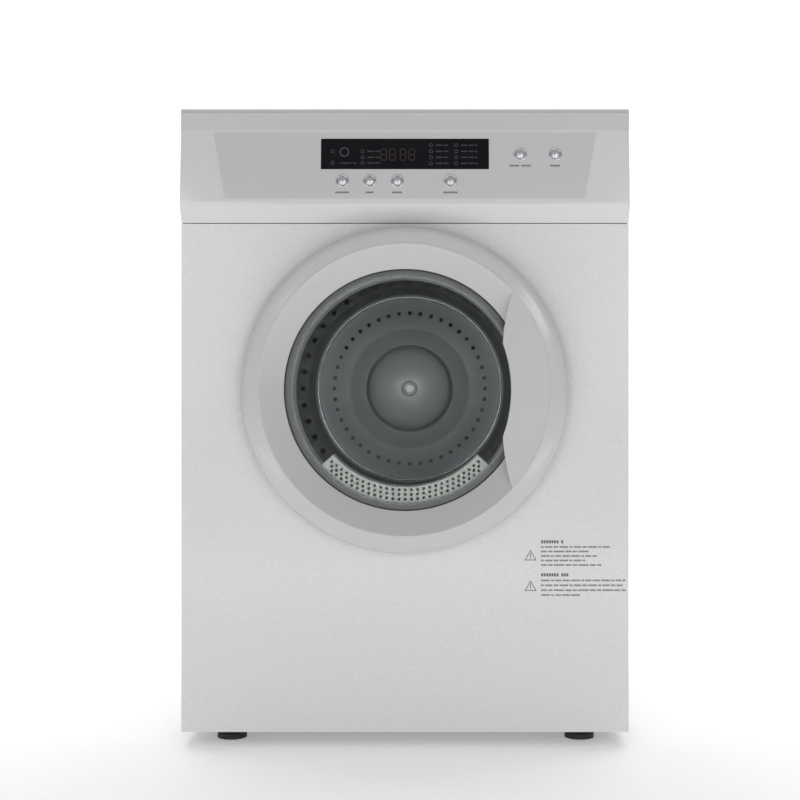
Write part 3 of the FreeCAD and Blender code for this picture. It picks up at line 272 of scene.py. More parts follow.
def buildTurnedGrain():
    # fine rings about the drum's axis, as brushing on a spinning blank leaves
    group, start, end = newGroup("turnedGrain", [("Vector", "NodeSocketVector", None)],
                                 [("Streak", "NodeSocketFloat"), ("Blotch", "NodeSocketFloat"),
                                  ("Radius", "NodeSocketFloat")])
    split = addNode(group, "ShaderNodeSeparateXYZ")
    square = addNode(group, "ShaderNodeCombineXYZ")
    length = addNode(group, "ShaderNodeVectorMath", operation="LENGTH")
    stretch = addNode(group, "ShaderNodeMath", operation="MULTIPLY")
    stretch.inputs[1].default_value = 900.0
    lines = addNode(group, "ShaderNodeTexNoise", Scale=1.0, Detail=4.0, Roughness=0.7)
    lines.noise_dimensions = "1D"
    blotch = addNode(group, "ShaderNodeTexNoise", Scale=9.0, Detail=3.0)
    group.links.new(start.outputs["Vector"], split.inputs["Vector"])
    group.links.new(split.outputs["X"], square.inputs["X"])
    group.links.new(split.outputs["Z"], square.inputs["Z"])
    group.links.new(square.outputs["Vector"], length.inputs[0])
    group.links.new(length.outputs["Value"], stretch.inputs[0])
    group.links.new(stretch.outputs[0], lines.inputs["W"])
    group.links.new(start.outputs["Vector"], blotch.inputs["Vector"])
    group.links.new(lines.outputs["Fac"], end.inputs["Streak"])
    group.links.new(blotch.outputs["Fac"], end.inputs["Blotch"])
    group.links.new(length.outputs["Value"], end.inputs["Radius"])
    return group


mouldGrain = buildMouldGrain()
edgeWear = buildEdgeWear()
turnedGrain = buildTurnedGrain()


def placeGroup(tree, group):
    node = tree.nodes.new("ShaderNodeGroup")
    node.node_tree = group
    return node


def makeFinish(name, look):
    # a moulded, painted or metal finish: uneven colour, uneven gloss, fine grain and rubbed edges
    material = bpy.data.materials.new(name)
    material.use_nodes = True
    tree = material.node_tree
    shader = tree.nodes["Principled BSDF"]
    place = addNode(tree, "ShaderNodeTexCoord")
    grain = placeGroup(tree, mouldGrain)
    grain.inputs["Grain Scale"].default_value = look.get("grainScale", 900.0)
    grain.inputs["Cloud Scale"].default_value = look.get("cloudScale", 6.0)
    wear = placeGroup(tree, edgeWear)
    wear.inputs["Amount"].default_value = look.get("wear", 0.4)
    base = Vector(look["color"])
    shade = look.get("shade", 0.95)
    tint = addNode(tree, "ShaderNodeMix", data_type="RGBA")
    tint.inputs["A"].default_value = (*(base * shade), 1)
    tint.inputs["B"].default_value = (*base, 1)
    rubbed = addNode(tree, "ShaderNodeMix", data_type="RGBA")
    rubbed.inputs["B"].default_value = (*look.get("wornColor", tuple(base * 0.8)), 1)
    gloss = addRange(tree, 0.0, 1.0, *look["roughness"])
    bump = addNode(tree, "ShaderNodeBump")
    bump.inputs["Strength"].default_value = look.get("bump", 0.05)
    bump.inputs["Distance"].default_value = look.get("bumpDepth", 0.0002)
    shader.inputs["Metallic"].default_value = look.get("metallic", 0.0)
    shader.inputs["Specular IOR Level"].default_value = look.get("specular", 0.5)
    shader.inputs["Coat Weight"].default_value = look.get("coat", 0.0)
    shader.inputs["Coat Roughness"].default_value = look.get("coatRoughness", 0.08)
    shader.inputs["Sheen Weight"].default_value = look.get("sheen", 0.0)
    link = tree.links.new
    link(place.outputs["Object"], grain.inputs["Vector"])
    link(place.outputs["Object"], wear.inputs["Vector"])
    link(grain.outputs["Cloud"], tint.inputs["Factor"])
    link(tint.outputs["Result"], rubbed.inputs["A"])
    link(wear.outputs["Mask"], rubbed.inputs["Factor"])
    link(rubbed.outputs["Result"], shader.inputs["Base Color"])
    link(grain.outputs["Cloud"], gloss.inputs["Value"])
    link(gloss.outputs["Result"], shader.inputs["Roughness"])
    link(grain.outputs["Grain"], bump.inputs["Height"])
    link(bump.outputs["Normal"], shader.inputs["Normal"])
    return material


def makeStainless(name, look):
    # drawn steel with turned rings in its gloss and slight blotches; painted shade darkens a band round the
    # recessed hub and a band out by the rim
    material = bpy.data.materials.new(name)
    material.use_nodes = True
    tree = material.node_tree
    shader = tree.nodes["Principled BSDF"]
    place = addNode(tree, "ShaderNodeTexCoord")
    centre = addNode(tree, "ShaderNodeMapping")
    centre.inputs["Location"].default_value = (0, 0, -drumAxis)
    rings = placeGroup(tree, turnedGrain)
    tint = addNode(tree, "ShaderNodeMix", data_type="RGBA")
    tint.inputs["A"].default_value = (*look["dark"], 1)
    tint.inputs["B"].default_value = (*look["light"], 1)
    gloss = addRange(tree, 0.0, 1.0, *look["roughness"])
    bump = addNode(tree, "ShaderNodeBump")
    bump.inputs["Strength"].default_value = look.get("bump", 0.06)
    bump.inputs["Distance"].default_value = 0.0002
    shader.inputs["Metallic"].default_value = look.get("metallic", 1.0)
    shader.inputs["Anisotropic"].default_value = look.get("anisotropic", 0.3)
    # painted shade: the colour is darkened inside a radius round the recessed hub, and outside a radius out by the
    # rim, where the drum lies in shade
    hubShadeEdge = look.get("hubShadeEdge", 0.0)
    rimShadeEdge = look.get("rimShadeEdge", 1.0)
    hubShadeRamp = addRange(tree, hubShadeEdge, hubShadeEdge + 4 * mm, look.get("hubPaintedShade", 1.0), 1.0)
    rim = addRange(tree, rimShadeEdge, rimShadeEdge + 3 * mm, 1.0, look.get("rimPaintedShade", 1.0))
    paintedShadeFactor = addNode(tree, "ShaderNodeMath", operation="MULTIPLY")
    paintedShadeScale = addNode(tree, "ShaderNodeVectorMath", operation="SCALE")
    link = tree.links.new
    link(place.outputs["Object"], centre.inputs["Vector"])
    link(centre.outputs["Vector"], rings.inputs["Vector"])
    link(rings.outputs["Radius"], hubShadeRamp.inputs["Value"])
    link(rings.outputs["Blotch"], tint.inputs["Factor"])
    link(tint.outputs["Result"], paintedShadeScale.inputs[0])
    link(rings.outputs["Radius"], rim.inputs["Value"])
    link(hubShadeRamp.outputs["Result"], paintedShadeFactor.inputs[0])
    link(rim.outputs["Result"], paintedShadeFactor.inputs[1])
    link(paintedShadeFactor.outputs[0], paintedShadeScale.inputs["Scale"])
    link(paintedShadeScale.outputs["Vector"], shader.inputs["Base Color"])
    link(rings.outputs["Streak"], gloss.inputs["Value"])
    link(gloss.outputs["Result"], shader.inputs["Roughness"])
    link(rings.outputs["Streak"], bump.inputs["Height"])
    link(bump.outputs["Normal"], shader.inputs["Normal"])
    return material


def makeGlass(name):
    # clear pane: light for shadows passes straight through; faint smears in the gloss
    material = bpy.data.materials.new(name)
    material.use_nodes = True
    tree = material.node_tree
    shader = tree.nodes["Principled BSDF"]
    place = addNode(tree, "ShaderNodeTexCoord")
    smear = placeGroup(tree, mouldGrain)
    smear.inputs["Cloud Scale"].default_value = 14.0
    gloss = addRange(tree, 0.0, 1.0, 0.0, 0.04)
    shader.inputs["Base Color"].default_value = (0.97, 0.985, 0.98, 1)
    shader.inputs["Transmission Weight"].default_value = 1.0
    shader.inputs["IOR"].default_value = 1.25
    shader.inputs["Specular Tint"].default_value = (0.5, 0.5, 0.5, 1)
    ray = addNode(tree, "ShaderNodeLightPath")
    clear = addNode(tree, "ShaderNodeBsdfTransparent")
    clear.inputs["Color"].default_value = (0.99, 1.0, 0.995, 1)
    either = addNode(tree, "ShaderNodeMixShader")
    end = tree.nodes["Material Output"]
    link = tree.links.new
    link(place.outputs["Object"], smear.inputs["Vector"])
    link(smear.outputs["Cloud"], gloss.inputs["Value"])
    link(gloss.outputs["Result"], shader.inputs["Roughness"])
    link(ray.outputs["Is Shadow Ray"], either.inputs[0])
    link(shader.outputs[0], either.inputs[1])
    link(clear.outputs[0], either.inputs[2])
    link(either.outputs[0], end.inputs["Surface"])
    return material


def makeGlow(name, color, strength):
    # unlit lamp segments behind dark acrylic, given a faint painted glow
    material = makeFinish(name, {"color": color, "roughness": (0.25, 0.35)})
    shader = material.node_tree.nodes["Principled BSDF"]
    shader.inputs["Emission Color"].default_value = (*color, 1)
    shader.inputs["Emission Strength"].default_value = strength
    return material


caseEnamel = makeFinish("caseEnamel", {"color": (0.76, 0.76, 0.775), "roughness": (0.24, 0.30), "coat": 0.2,
                                       "grainScale": 1200.0, "bump": 0.012, "shade": 0.997, "wear": 0.0,
                                       "cloudScale": 260.0})
laminateWhite = makeFinish("laminateWhite", {"color": (0.70, 0.70, 0.71), "roughness": (0.38, 0.48),
                                             "grainScale": 1500.0, "bump": 0.10, "shade": 0.96})
trimWhite = makeFinish("trimWhite", {"color": (0.62, 0.62, 0.63), "roughness": (0.26, 0.34), "coat": 0.2,
                                     "grainScale": 1100.0, "bump": 0.05, "wear": 0.2})
fasciaWhite = makeFinish("fasciaWhite", {"color": (0.76, 0.76, 0.765), "roughness": (0.12, 0.20), "coat": 0.4,
                                         "grainScale": 1000.0, "bump": 0.03, "wear": 0.2})
doorWhite = makeFinish("doorWhite", {"color": (0.62, 0.62, 0.635), "roughness": (0.12, 0.18), "coat": 0.3,
                                     "grainScale": 950.0, "bump": 0.03, "wear": 0.2})
inlaySilver = makeFinish("inlaySilver", {"color": (0.66, 0.66, 0.66), "roughness": (0.36, 0.44), "metallic": 0.2,
                                         "grainScale": 2200.0, "bump": 0.05, "wear": 0.2})
displayBlack = makeFinish("displayBlack", {"color": (0.006, 0.005, 0.008), "roughness": (0.08, 0.14), "coat": 0.0,
                                           "grainScale": 600.0, "bump": 0.01, "wornColor": (0.03, 0.03, 0.03),
                                           "specular": 0.10})
bezelChrome = makeFinish("bezelChrome", {"color": (0.72, 0.73, 0.75), "roughness": (0.10, 0.18), "metallic": 1.0,
                                         "bump": 0.02, "wornColor": (0.5, 0.5, 0.5)})
capSilver = makeFinish("capSilver", {"color": (0.68, 0.69, 0.72), "roughness": (0.18, 0.26), "metallic": 0.8,
                                     "bump": 0.03, "wornColor": (0.5, 0.5, 0.5)})
boardGreen = makeFinish("boardGreen", {"color": (0.02, 0.14, 0.06), "roughness": (0.35, 0.5), "bump": 0.1})
zincGrey = makeFinish("zincGrey", {"color": (0.42, 0.44, 0.45), "roughness": (0.35, 0.55), "metallic": 0.85,
                                   "cloudScale": 40.0, "shade": 0.82, "bump": 0.08})
turnedSteel = makeFinish("turnedSteel", {"color": (0.52, 0.53, 0.54), "roughness": (0.2, 0.35), "metallic": 1.0,
                                         "grainScale": 1800.0, "bump": 0.05})
throatGrey = makeFinish("throatGrey", {"color": (0.50, 0.51, 0.51), "roughness": (0.30, 0.42),
                                       "grainScale": 1300.0, "bump": 0.08})
filterCream = makeFinish("filterCream", {"color": (0.60, 0.61, 0.58), "roughness": (0.40, 0.52),
                                         "grainScale": 1600.0, "bump": 0.12, "shade": 0.9})
rubberDark = makeFinish("rubberDark", {"color": (0.035, 0.035, 0.038), "roughness": (0.55, 0.75),
                                       "grainScale": 2500.0, "bump": 0.2, "specular": 0.35})
sealGrey = makeFinish("sealGrey", {"color": (0.26, 0.265, 0.27), "roughness": (0.5, 0.65),
                                   "grainScale": 2200.0, "bump": 0.15, "specular": 0.35})
feltGrey = makeFinish("feltGrey", {"color": (0.33, 0.33, 0.31), "roughness": (0.85, 1.0), "sheen": 0.4,
                                   "grainScale": 3500.0, "bump": 0.6, "bumpDepth": 0.0006, "shade": 0.8})
motorCast = makeFinish("motorCast", {"color": (0.36, 0.37, 0.38), "roughness": (0.4, 0.6), "metallic": 0.8,
                                     "grainScale": 700.0, "bump": 0.25, "shade": 0.85})
nylonNatural = makeFinish("nylonNatural", {"color": (0.62, 0.62, 0.58), "roughness": (0.35, 0.45), "bump": 0.06})
inkGrey = makeFinish("inkGrey", {"color": (0.10, 0.10, 0.11), "roughness": (0.45, 0.6), "bump": 0.05, "wear": 0.0})
# painted shade: the drum shell's steel is coloured near black, standing in for the shade inside the drum
shadedShellSteel = makeStainless("shadedShellSteel", {"dark": (0.035, 0.038, 0.042), "light": (0.09, 0.097, 0.105),
                                          "roughness": (0.20, 0.34), "bump": 0.03, "metallic": 0.5})
# painted shade on the end plate: darker round the hub's recess and out by the rim
drumSteel = makeStainless("drumSteel", {"dark": (0.70, 0.735, 0.75), "light": (0.80, 0.835, 0.85),
                                        "roughness": (0.26, 0.40), "bump": 0.02, "metallic": 0.05,
                                        "hubShadeEdge": 0.096, "hubPaintedShade": 0.6, "rimShadeEdge": 0.152, "rimPaintedShade": 0.28})
hubSteel = makeStainless("hubSteel", {"dark": (0.84, 0.865, 0.87), "light": (0.95, 0.96, 0.965),
                                      "roughness": (0.26, 0.36), "bump": 0.03, "metallic": 0.05})
beadSteel = makeStainless("beadSteel", {"dark": (0.74, 0.76, 0.77), "light": (0.86, 0.88, 0.89),
                                        "roughness": (0.14, 0.24), "bump": 0.02, "metallic": 0.9})
screwBright = makeFinish("screwBright", {"color": (0.62, 0.63, 0.64), "roughness": (0.15, 0.3), "metallic": 1.0})
paneGlass = makeGlass("paneGlass")
# painted glow: the unlit digit segments emit a faint amber
unlitDigitGlow = makeGlow("unlitDigitGlow", (0.045, 0.027, 0.022), 0.06)
lampGrey = makeFinish("lampGrey", {"color": (0.055, 0.05, 0.06), "roughness": (0.3, 0.45), "wear": 0.0})
print("materials made")


def coverNodes(material, *names):
    for name in names:
        nodes[name].data.materials.clear()
        nodes[name].data.materials.append(material)


coverNodes(zincGrey, "base_pan", "front_bulkhead", "rear_bulkhead", "bearing_bracket", "heater_box", "motor_mount",
           "hinge_bracket", "hinge_leaf", "roller_axles", "idler_arm")
coverNodes(turnedSteel, "hinge_pin", "door_strike", "drum_shaft", "motor_shaft", "heater_rods")
coverNodes(throatGrey, "filter_housing", "blower_housing", "blower_wheel", "door_lock_switch")
coverNodes(rubberDark, "drive_belt", "left_roller", "right_roller")
coverNodes(feltGrey, "front_felt_seal")
coverNodes(motorCast, "motor_body")
coverNodes(nylonNatural, "idler_wheel", "drum_lifters")
coverNodes(boardGreen, "control_board")
coverNodes(paneGlass, "door_glass")
coverNodes(shadedShellSteel, "drum_shell")
coverNodes(sealGrey, "door_seal")
coverNodes(doorWhite, "door_back")


caseEdges = {"front_panel": 1.2, "left_side_panel": 0.4, "right_side_panel": 0.4, "rear_panel": 0.3}


def makeCase():
    for node, width in caseEdges.items():
        softenedPiece("enamel_" + node, node, "cabinet", caseEnamel, width * mm)
    softenedPiece("laminate_worktop", "worktop", "cabinet", laminateWhite, 1.5 * mm, 3)
    nosing = softenedPiece("worktop_nosing", "worktop_front_trim", "cabinet", trimWhite, 0)
    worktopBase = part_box("worktop")[0].z
    pickEdges(nosing, lambda ends: all(abs(end.x) > sideX - 0.1 * mm and end.z > worktopBase + 12 * mm
                                       for end in ends))
    bpy.ops.mesh.bevel(offset=4 * mm, segments=5, affect="EDGES", clamp_overlap=True)
    bpy.ops.mesh.select_mode(type="VERT")
    bpy.ops.object.mode_set(mode="OBJECT")
    roundEdges(nosing, 0.8 * mm, 2)
    smoothByAngle(nosing, 40)
    softenedPiece("vent_spigot", "exhaust_collar", "cabinet", throatGrey, 0.8 * mm)
    softenedPiece("terminal_box", "mains_terminal_cover", "cabinet", throatGrey, 1.5 * mm, 3)
    for corner in ("front_left", "front_right", "rear_left", "rear_right"):
        softenedPiece(corner + "_leveller_pad", corner + "_foot", corner + "_leveller", rubberDark,
                      0.8 * mm)
    print("case made")


keySpots = {"crease_guard": (-82.7, 69, 7), "heat": (-46.5, 69, 4), "delay": (-10.0, 69, 5),
            "program": (60.4, 69, 7), "start": (152.9, 32.8, 11), "power": (199.4, 32.8, 5)}
keyCap = {"profile": ((0, 3.7), (1.4, 3.64), (2.8, 3.42), (4.0, 3.06), (4.9, 2.6), (5.6, 2.02), (6.0, 1.5),
                      (6.2, 0.95), (6.2, 0.5), (2.5, 0.5), (2.5, -8), (0, -8))}
keyRing = {"profile": ((6.4, -1.5), (6.4, 0.5), (6.55, 0.95), (6.95, 1.3), (7.5, 1.48), (8.1, 1.36), (8.55, 1.0),
                       (8.8, 0.45), (8.8, -1.5))}


def makeControls():
    softenedPiece("fascia_moulding", "control_fascia", "cabinet", fasciaWhite, 1.6 * mm, 3)
    softenedPiece("silver_inlay_plate", "control_inlay", "cabinet", inlaySilver, 0.35 * mm)
    softenedPiece("display_pane", "display_window", "cabinet", displayBlack, 0.3 * mm)
    rings = []
    for label, (x, drop, _) in keySpots.items():
        rings.append(spunOnFascia(keyRing["profile"], x, drop))
        cap = spunOnFascia(keyCap["profile"], x, drop)
        smoothByAngle(cap, 50)
        finishPiece(cap, label + "_button_cap", label + "_key", capSilver, [label + "_button"])
    bezels = joinPieces(rings)
    smoothByAngle(bezels, 50)
    finishPiece(bezels, "bezel_rings", "cabinet", bezelChrome, ["button_bezels"])
    print("controls made")


def flatMarks(spots, lift):
    # small rectangles on one sheet, (left, base, width, height) in millimetres
    clearSelection()
    bpy.ops.mesh.primitive_plane_add(size=1, location=(0, 0, 0))
    sheet = bpy.context.object
    bpy.ops.object.mode_set(mode="EDIT")
    bpy.ops.mesh.delete(type="VERT")
    for left, base, width, height in spots:
        middle = ((left + width / 2) * mm, (base + height / 2) * mm, lift * mm)
        bpy.ops.mesh.primitive_plane_add(size=1, location=middle)
        bpy.ops.transform.resize(value=(width * mm, height * mm, 1), center_override=middle)
    bpy.ops.object.mode_set(mode="OBJECT")
    return sheet


def dashWords(left, base, width, size, pattern):
    # a line of short dashes grouped like words
    spots = []
    across = left
    step = 0
    while across < left + width:
        letters = pattern[step % len(pattern)]
        for letter in range(letters):
            if across > left + width:
                break
            spots.append((across, base, size * 0.62, size))
            across = across + size * 0.86
        across = across + size * 0.7
        step = step + 1
    return spots


def layOnFascia(sheet):
    sheet.rotation_euler = (math.radians(90) - fasciaTilt, 0, 0)
    sheet.location = (0, frontFace - fasciaSet, caseTop)
    settlePlace(sheet)


def slopeHeight(z):
    # distance along the slope from the fascia's top edge down to a height, as a negative number
    return (z * mm - caseTop) / math.cos(fasciaTilt) / mm


legend = {"drop": 16.6, "size": 2.3}


def makeLegends():
    spots = []
    for x, drop, letters in keySpots.values():
        pitch = legend["size"] * 1.15
        base = -drop - legend["drop"]
        left = x - letters * pitch / 2
        for letter in range(letters):
            if letters > 10 and letter == 5:
                continue
            spots.append((left + letter * pitch, base, pitch * 0.74, legend["size"]))
    marks = flatMarks(spots, markLift)
    layOnFascia(marks)
    finishPiece(marks, "key_legends", "cabinet", inkGrey)


display = {"ringColumns": ((-95.9, (791.5, 775.8), 0), (-56.1, (791.5, 783.3, 775.8), 16),
                           (34.6, (799.6, 791.5, 783.3, 775.1), 17), (67.9, (799.6, 791.5, 783.3, 775.1), 20)),
           "ringRadius": 2.6, "lensRadius": 6.5, "lensX": -80.3, "lensZ": 790.5,
           "digitX": (-28.0, -16.5, -2.5, 9.0), "digitZ": 787.0, "digitHeight": 15.0, "digitWidth": 8.5}
windowProud = 0.2


def outlineMark(sides, radius, line, place):
    # a circle or triangle drawn as a thin flat outline
    clearSelection()
    bpy.ops.mesh.primitive_circle_add(vertices=sides, radius=radius * mm, fill_type="NGON", location=place)
    bpy.ops.object.mode_set(mode="EDIT")
    bpy.ops.mesh.select_all(action="SELECT")
    bpy.ops.mesh.inset(thickness=line * mm)
    bpy.ops.mesh.delete(type="FACE")
    bpy.ops.object.mode_set(mode="OBJECT")
    return bpy.context.object


def ringMark(x, z, radius, line):
    ring = outlineMark(32, radius, line, (x * mm, slopeHeight(z) * mm, (windowProud + markLift) * mm))
    settlePlace(ring)
    return ring


def joinPieces(pieces):
    clearSelection()
    for piece in pieces:
        piece.select_set(True)
    bpy.context.view_layer.objects.active = pieces[0]
    bpy.ops.object.join()
    return bpy.context.object


def makeDisplay():
    rings = []
    bars = []
    for x, heights, width in display["ringColumns"]:
        for z in heights:
            rings.append(ringMark(x, z, display["ringRadius"], 0.9))
            if width:
                bars.extend(dashWords(x + 6.5, slopeHeight(z) - 1.0, width, 2.0, (5, 4, 6)))
    rings.append(ringMark(display["lensX"], display["lensZ"], display["lensRadius"], 1.6))
    bars.extend(dashWords(-86, slopeHeight(774.5), 20, 2.0, (1, 6)))
    rings.append(flatMarks(bars, windowProud + markLift))
    marks = joinPieces(rings)
    layOnFascia(marks)
    finishPiece(marks, "display_symbols", "cabinet", lampGrey)

    # four unlit digits with a faint painted glow: seven bars each, slanted a little
    segments = []
    wide = display["digitWidth"]
    high = display["digitHeight"] / 2
    for x in display["digitX"]:
        low = slopeHeight(display["digitZ"]) - high
        for row in range(3):
            segments.append((x - wide / 2 + 0.9, low + row * high - 0.5, wide - 1.8, 1.0))
        for row in range(2):
            for side in (-1, 1):
                segments.append((x + side * (wide / 2 - 0.5) - 0.5, low + row * high + 0.8, 1.0, high - 1.6))
    digits = flatMarks(segments, windowProud + 0.05)
    layOnFascia(digits)
    finishPiece(digits, "display_digits", "cabinet", unlitDigitGlow)
    print("display made")


noticeLines = {"left": 181.0, "size": 2.3, "words": ((2, 5, 3, 6), (4, 3, 7), (6, 2, 4, 5)),
               "headings": ((273.0, 30.0), (229.0, 36.0)),
               "lines": ((266.0, 92.0), (260.0, 62.0), (254.0, 74.0), (248.0, 58.0), (242.0, 82.0),
                         (221.5, 112.0), (215.0, 108.0), (208.5, 112.0), (202.0, 50.0)),
               "signs": ((167.0, 255.0), (167.0, 214.5)), "signSide": 17.0}


def makeNotice():
    # a generic care notice: rows of dashes and two plain triangles
    spots = []
    left = noticeLines["left"]
    for z, width in noticeLines["headings"]:
        spots.extend(dashWords(left, z - 2, width, 4.0, (7, 8)))
    for index, (z, width) in enumerate(noticeLines["lines"]):
        words = noticeLines["words"][index % len(noticeLines["words"])]
        spots.extend(dashWords(left, z - 1, width, noticeLines["size"], words))
    sheet = flatMarks(spots, 0.0)
    signs = [sheet]
    for x, z in noticeLines["signs"]:
        signs.append(outlineMark(3, noticeLines["signSide"] * 0.55, 1.0, (x * mm, (z - 2) * mm, 0)))
        signs.append(flatMarks([(x - 0.6, z - 2.5, 1.2, 5.0), (x - 0.6, z - 4.6, 1.2, 1.2)], 0.0))
    marks = joinPieces(signs)
    marks.rotation_euler = (math.radians(90), 0, 0)
    marks.location = (0, frontFace - markLift * mm, 0)
    settlePlace(marks)
    finishPiece(marks, "care_notice", "cabinet", inkGrey)
    print("notice made")


doorRing = {"profile": ((215, -4), (215, -23), (213.6, -26.4), (210.4, -29.3), (206, -30.9), (199, -32.3),
                        (194.6, -33.0), (193.2, -33.3), (192.3, -33.9), (191.3, -34), (190.4, -33.6),
                        (189.6, -32.8), (160.6, -12.5), (160, -11.4), (160, -10), (161.6, -10),
                        (192.5, -30.8), (207.5, -27.6), (211, -24.6), (212, -22.5), (212, -4)),
            "steps": 240}
paneGasket = {"profile": ((158.6, -9.4), (159.8, -9.9), (163, -9.9), (163, -9.1), (158.6, -9.05)), "steps": 200}
hingeSlot = {"inset": 17.5, "behind": 12, "size": (16, 24, 6)}


def cutHingeSlots(ring):
    low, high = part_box("hinge_bracket")
    for middle in (low.z + hingeSlot["inset"] * mm, high.z - hingeSlot["inset"] * mm):
        clearSelection()
        bpy.ops.mesh.primitive_cube_add(size=1, location=(-doorRadius + 1 * mm,
                                                          frontFace - hingeSlot["behind"] * mm, middle))
        cutter = bpy.context.object
        cutter.scale = [side * mm for side in hingeSlot["size"]]
        settlePlace(cutter)
        slot = ring.modifiers.new("slot", "BOOLEAN")
        slot.operation = "DIFFERENCE"
        slot.object = cutter
        slot.solver = "EXACT"
        applyModifiers(ring)
        bpy.data.objects.remove(cutter)


def makeDoor():
    ring = spunPiece(doorRing["profile"], doorRing["steps"])
    cutHingeSlots(ring)
    smoothByAngle(ring, 32)
    finishPiece(ring, "door_ring", "door", doorWhite, ["door_frame"])
    softenedPiece("door_grip_plate", "door_handle", "door", doorWhite, 1.4 * mm, 4)
    gasket = spunPiece(paneGasket["profile"], paneGasket["steps"])
    smoothByAngle(gasket, 40)
    finishPiece(gasket, "pane_gasket", "door", rubberDark)
    print("door made")


hubShape = {"radius": 66.0, "crown": 439.5, "sag": 27.0, "seat": 474.0, "lip": 13.5, "steps": 192}
drumBead = {"profile": ((148.4, 472.6), (148.6, 470.9), (149.6, 469.9), (151.0, 469.9), (152.0, 470.9),
                        (152.2, 472.6), (151.0, 473.8), (149.6, 473.8)), "steps": 200}


def hubProfile():
    # a shallow ellipse of pressed steel with a dimple for its screw
    rim = hubShape["radius"]
    dome = []
    for step in range(17):
        radius = hubShape["lip"] + (rim - hubShape["lip"]) * math.sin(math.radians(90 * step / 16))
        fall = 1 - math.sqrt(max(0.0, 1 - (radius / rim) ** 2))
        dome.append((radius, hubShape["crown"] + hubShape["sag"] * fall))
    dimple = [(4.2, 449.0), (9.6, 449.0), (10.6, 447.8), (11.6, 441.6), (12.4, 440.3)]
    inner = [(rim, hubShape["seat"]), (rim - 2, hubShape["seat"]), (rim - 2.4, 462.0), (50.0, 452.0),
             (20.0, 446.0), (12.5, 450.2), (4.2, 450.2)]
    return dimple + dome + inner


def makeDrum():
    softenedPiece("drum_end_plate", "drum_back", "drum", drumSteel, 0.5 * mm, 2, 24, 30)
    hub = spunPiece(hubProfile(), hubShape["steps"])
    smoothByAngle(hub, 50)
    finishPiece(hub, "hub_dome", "drum", hubSteel, ["hub_cover"])
    bead = spunPiece(drumBead["profile"], drumBead["steps"])
    smoothByAngle(bead, 50)
    finishPiece(bead, "drum_rim_bead", "drum", beadSteel)
    softenedPiece("hub_centre_screw", "hub_screw", "drum", screwBright, 0.8 * mm, 3)
    softenedPiece("loading_throat", "throat_ring", "cabinet", throatGrey, 0.8 * mm, 3)
    softenedPiece("lint_screen_tray", "lint_filter", "filter", filterCream, 0.3 * mm, 1, 40, 30)
    print("drum made")


screwHead = {"radius": 4.0, "height": 1.6, "inset": 9.0, "rows": 5, "fromEnd": 30.0}


def makeRearScrews():
    heads = []
    low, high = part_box("rear_panel")
    first = low.z + screwHead["fromEnd"] * mm
    pitch = (high.z - low.z - 2 * screwHead["fromEnd"] * mm) / (screwHead["rows"] - 1)
    for x in (low.x + screwHead["inset"] * mm, high.x - screwHead["inset"] * mm):
        for row in range(screwHead["rows"]):
            z = first + row * pitch
            clearSelection()
            bpy.ops.mesh.primitive_cylinder_add(vertices=24, radius=screwHead["radius"] * mm,
                                                depth=screwHead["height"] * mm,
                                                location=(x, high.y + screwHead["height"] * mm / 2, z),
                                                rotation=(math.radians(90), 0, 0))
            heads.append(bpy.context.object)
    screws = joinPieces(heads)
    settlePlace(screws)
    roundEdges(screws, 0.5 * mm, 2, 40)
    smoothByAngle(screws)
    finishPiece(screws, "rear_screws", "cabinet", screwBright)
    print("screws made")


stage = {"size": 12.0, "wallY": 1.6, "wallHeight": 5.0, "color": (0.93, 0.93, 0.935), "glow": 0.24,
         "bend": 0.9, "bendSteps": 24}


def makeStage():
    clearSelection()
    bpy.ops.mesh.primitive_plane_add(size=stage["size"], location=(0, stage["wallY"] - stage["size"] / 2, 0))
    floor = bpy.context.object
    floor.name = "studio_floor"
    settlePlace(floor)
    pickEdges(floor, lambda ends: all(end.y > stage["wallY"] - 0.01 for end in ends))
    bpy.ops.mesh.extrude_region_move(TRANSFORM_OT_translate={"value": (0, 0, stage["wallHeight"])})
    bpy.ops.mesh.select_mode(type="VERT")
    bpy.ops.object.mode_set(mode="OBJECT")
    roundEdges(floor, stage["bend"], stage["bendSteps"], 30)
    makeActive(floor)
    bpy.ops.object.shade_smooth()
    paper = makeFinish("studioPaper", {"color": stage["color"], "roughness": (0.8, 0.9), "bump": 0.02, "wear": 0.0,
                                       "shade": 0.99})
    glow = paper.node_tree.nodes["Principled BSDF"]
    glow.inputs["Emission Color"].default_value = (1, 1, 1, 1)
    glow.inputs["Emission Strength"].default_value = stage["glow"]
    # seen from behind, the paper lets the view through
    tree = paper.node_tree
    side = addNode(tree, "ShaderNodeNewGeometry")
    through = addNode(tree, "ShaderNodeBsdfTransparent")
    either = addNode(tree, "ShaderNodeMixShader")
    tree.links.new(side.outputs["Backfacing"], either.inputs[0])
    tree.links.new(glow.outputs[0], either.inputs[1])
    tree.links.new(through.outputs[0], either.inputs[2])
    tree.links.new(either.outputs[0], tree.nodes["Material Output"].inputs["Surface"])
    floor.data.materials.append(paper)
    print("stage made")


def addSoftbox(name, place, aim, size, power, color=(1, 1, 1)):
    clearSelection()
    bpy.ops.object.light_add(type="AREA", location=place)
    lamp = bpy.context.object
    lamp.name = name
    lamp.data.shape = "RECTANGLE"
    lamp.data.size = size[0]
    lamp.data.size_y = size[1]
    lamp.data.energy = power
    lamp.data.color = color
    lamp.rotation_euler = (Vector(aim) - Vector(place)).to_track_quat("-Z", "Y").to_euler()


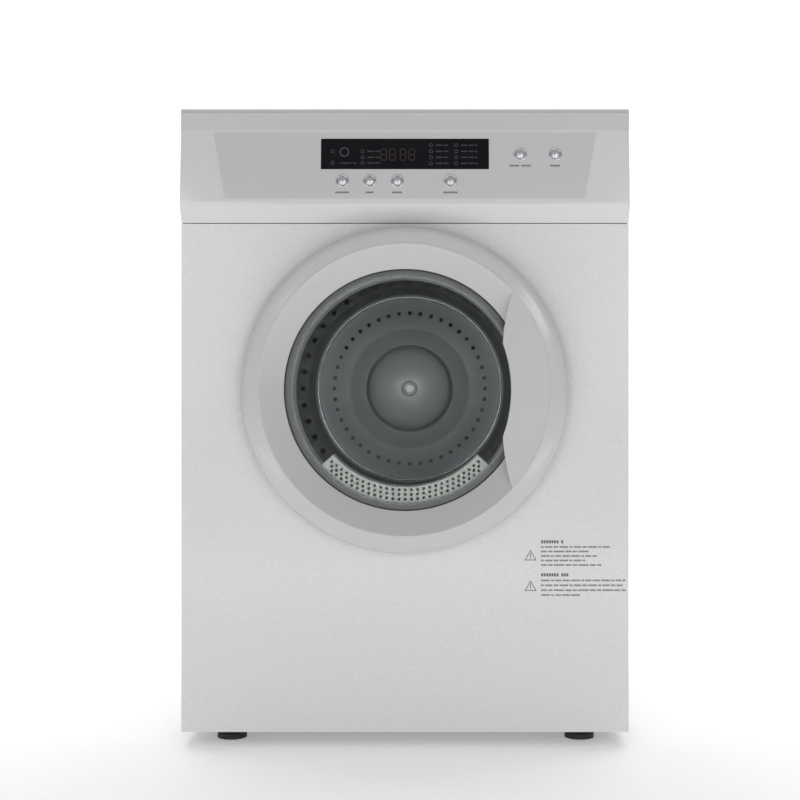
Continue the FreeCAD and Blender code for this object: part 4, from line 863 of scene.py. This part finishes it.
camera = {"place": (0.033, 0.485), "distance": 2.0, "fieldWidth": 1.064, "centre": (-0.00665, 0.4616),
          "sensor": 36.0}
softboxes = (("backdropWash", (0.0, 0.55, 3.0), (0, 1.6, 0.9), (4.0, 0.5), 50),
             ("leftFill", (-0.92, -3.1, 0.90), (0, 0, 0.28), (0.8, 1.0), 5.6),
             ("rightFill", (0.92, -3.1, 0.90), (0, 0, 0.28), (0.8, 1.0), 6.0),
             ("kickLight", (0.0, -1.5, 0.07), (0, -0.27, 0.10), (2.2, 0.1), 1.2),
             ("rightWindow", (1.30, -2.55, 1.24), (0, -0.2, 0.5), (0.3, 0.5), 1.6, (0.97, 0.99, 1.0)))
studioAir = {"level": 0.34, "overhead": 0.40, "fullHeight": 0.75}


def makeCamera():
    clearSelection()
    bpy.ops.object.camera_add(location=(camera["place"][0], frontFace - camera["distance"], camera["place"][1]),
                              rotation=(math.radians(90), 0, 0))
    view = bpy.context.object
    view.name = "front_camera"
    view.data.sensor_width = camera["sensor"]
    view.data.lens = camera["sensor"] * camera["distance"] / camera["fieldWidth"]
    view.data.shift_x = (camera["centre"][0] - camera["place"][0]) / camera["fieldWidth"]
    view.data.shift_y = (camera["centre"][1] - camera["place"][1]) / camera["fieldWidth"]
    view.data.clip_start = 0.05
    bpy.context.scene.camera = view


def lightScene():
    scene = bpy.context.scene
    scene.view_settings.view_transform = "Standard"
    scene.view_settings.look = "None"
    world = bpy.data.worlds.new("studioAir")
    world.use_nodes = True
    air = world.node_tree
    sky = air.nodes["Background"]
    sky.inputs["Strength"].default_value = 1.0
    facing = addNode(air, "ShaderNodeTexCoord")
    split = addNode(air, "ShaderNodeSeparateXYZ")
    fade = addRange(air, 0.0, studioAir["fullHeight"], studioAir["level"], studioAir["overhead"])
    air.links.new(facing.outputs["Generated"], split.inputs["Vector"])
    air.links.new(split.outputs["Z"], fade.inputs["Value"])
    air.links.new(fade.outputs["Result"], sky.inputs["Color"])
    scene.world = world
    for softbox in softboxes:
        addSoftbox(*softbox)
    print("lights placed")


makeCamera()
lightScene()
makeStage()
makeCase()
makeControls()
makeLegends()
makeDisplay()
makeNotice()
makeDoor()
makeDrum()
makeRearScrews()
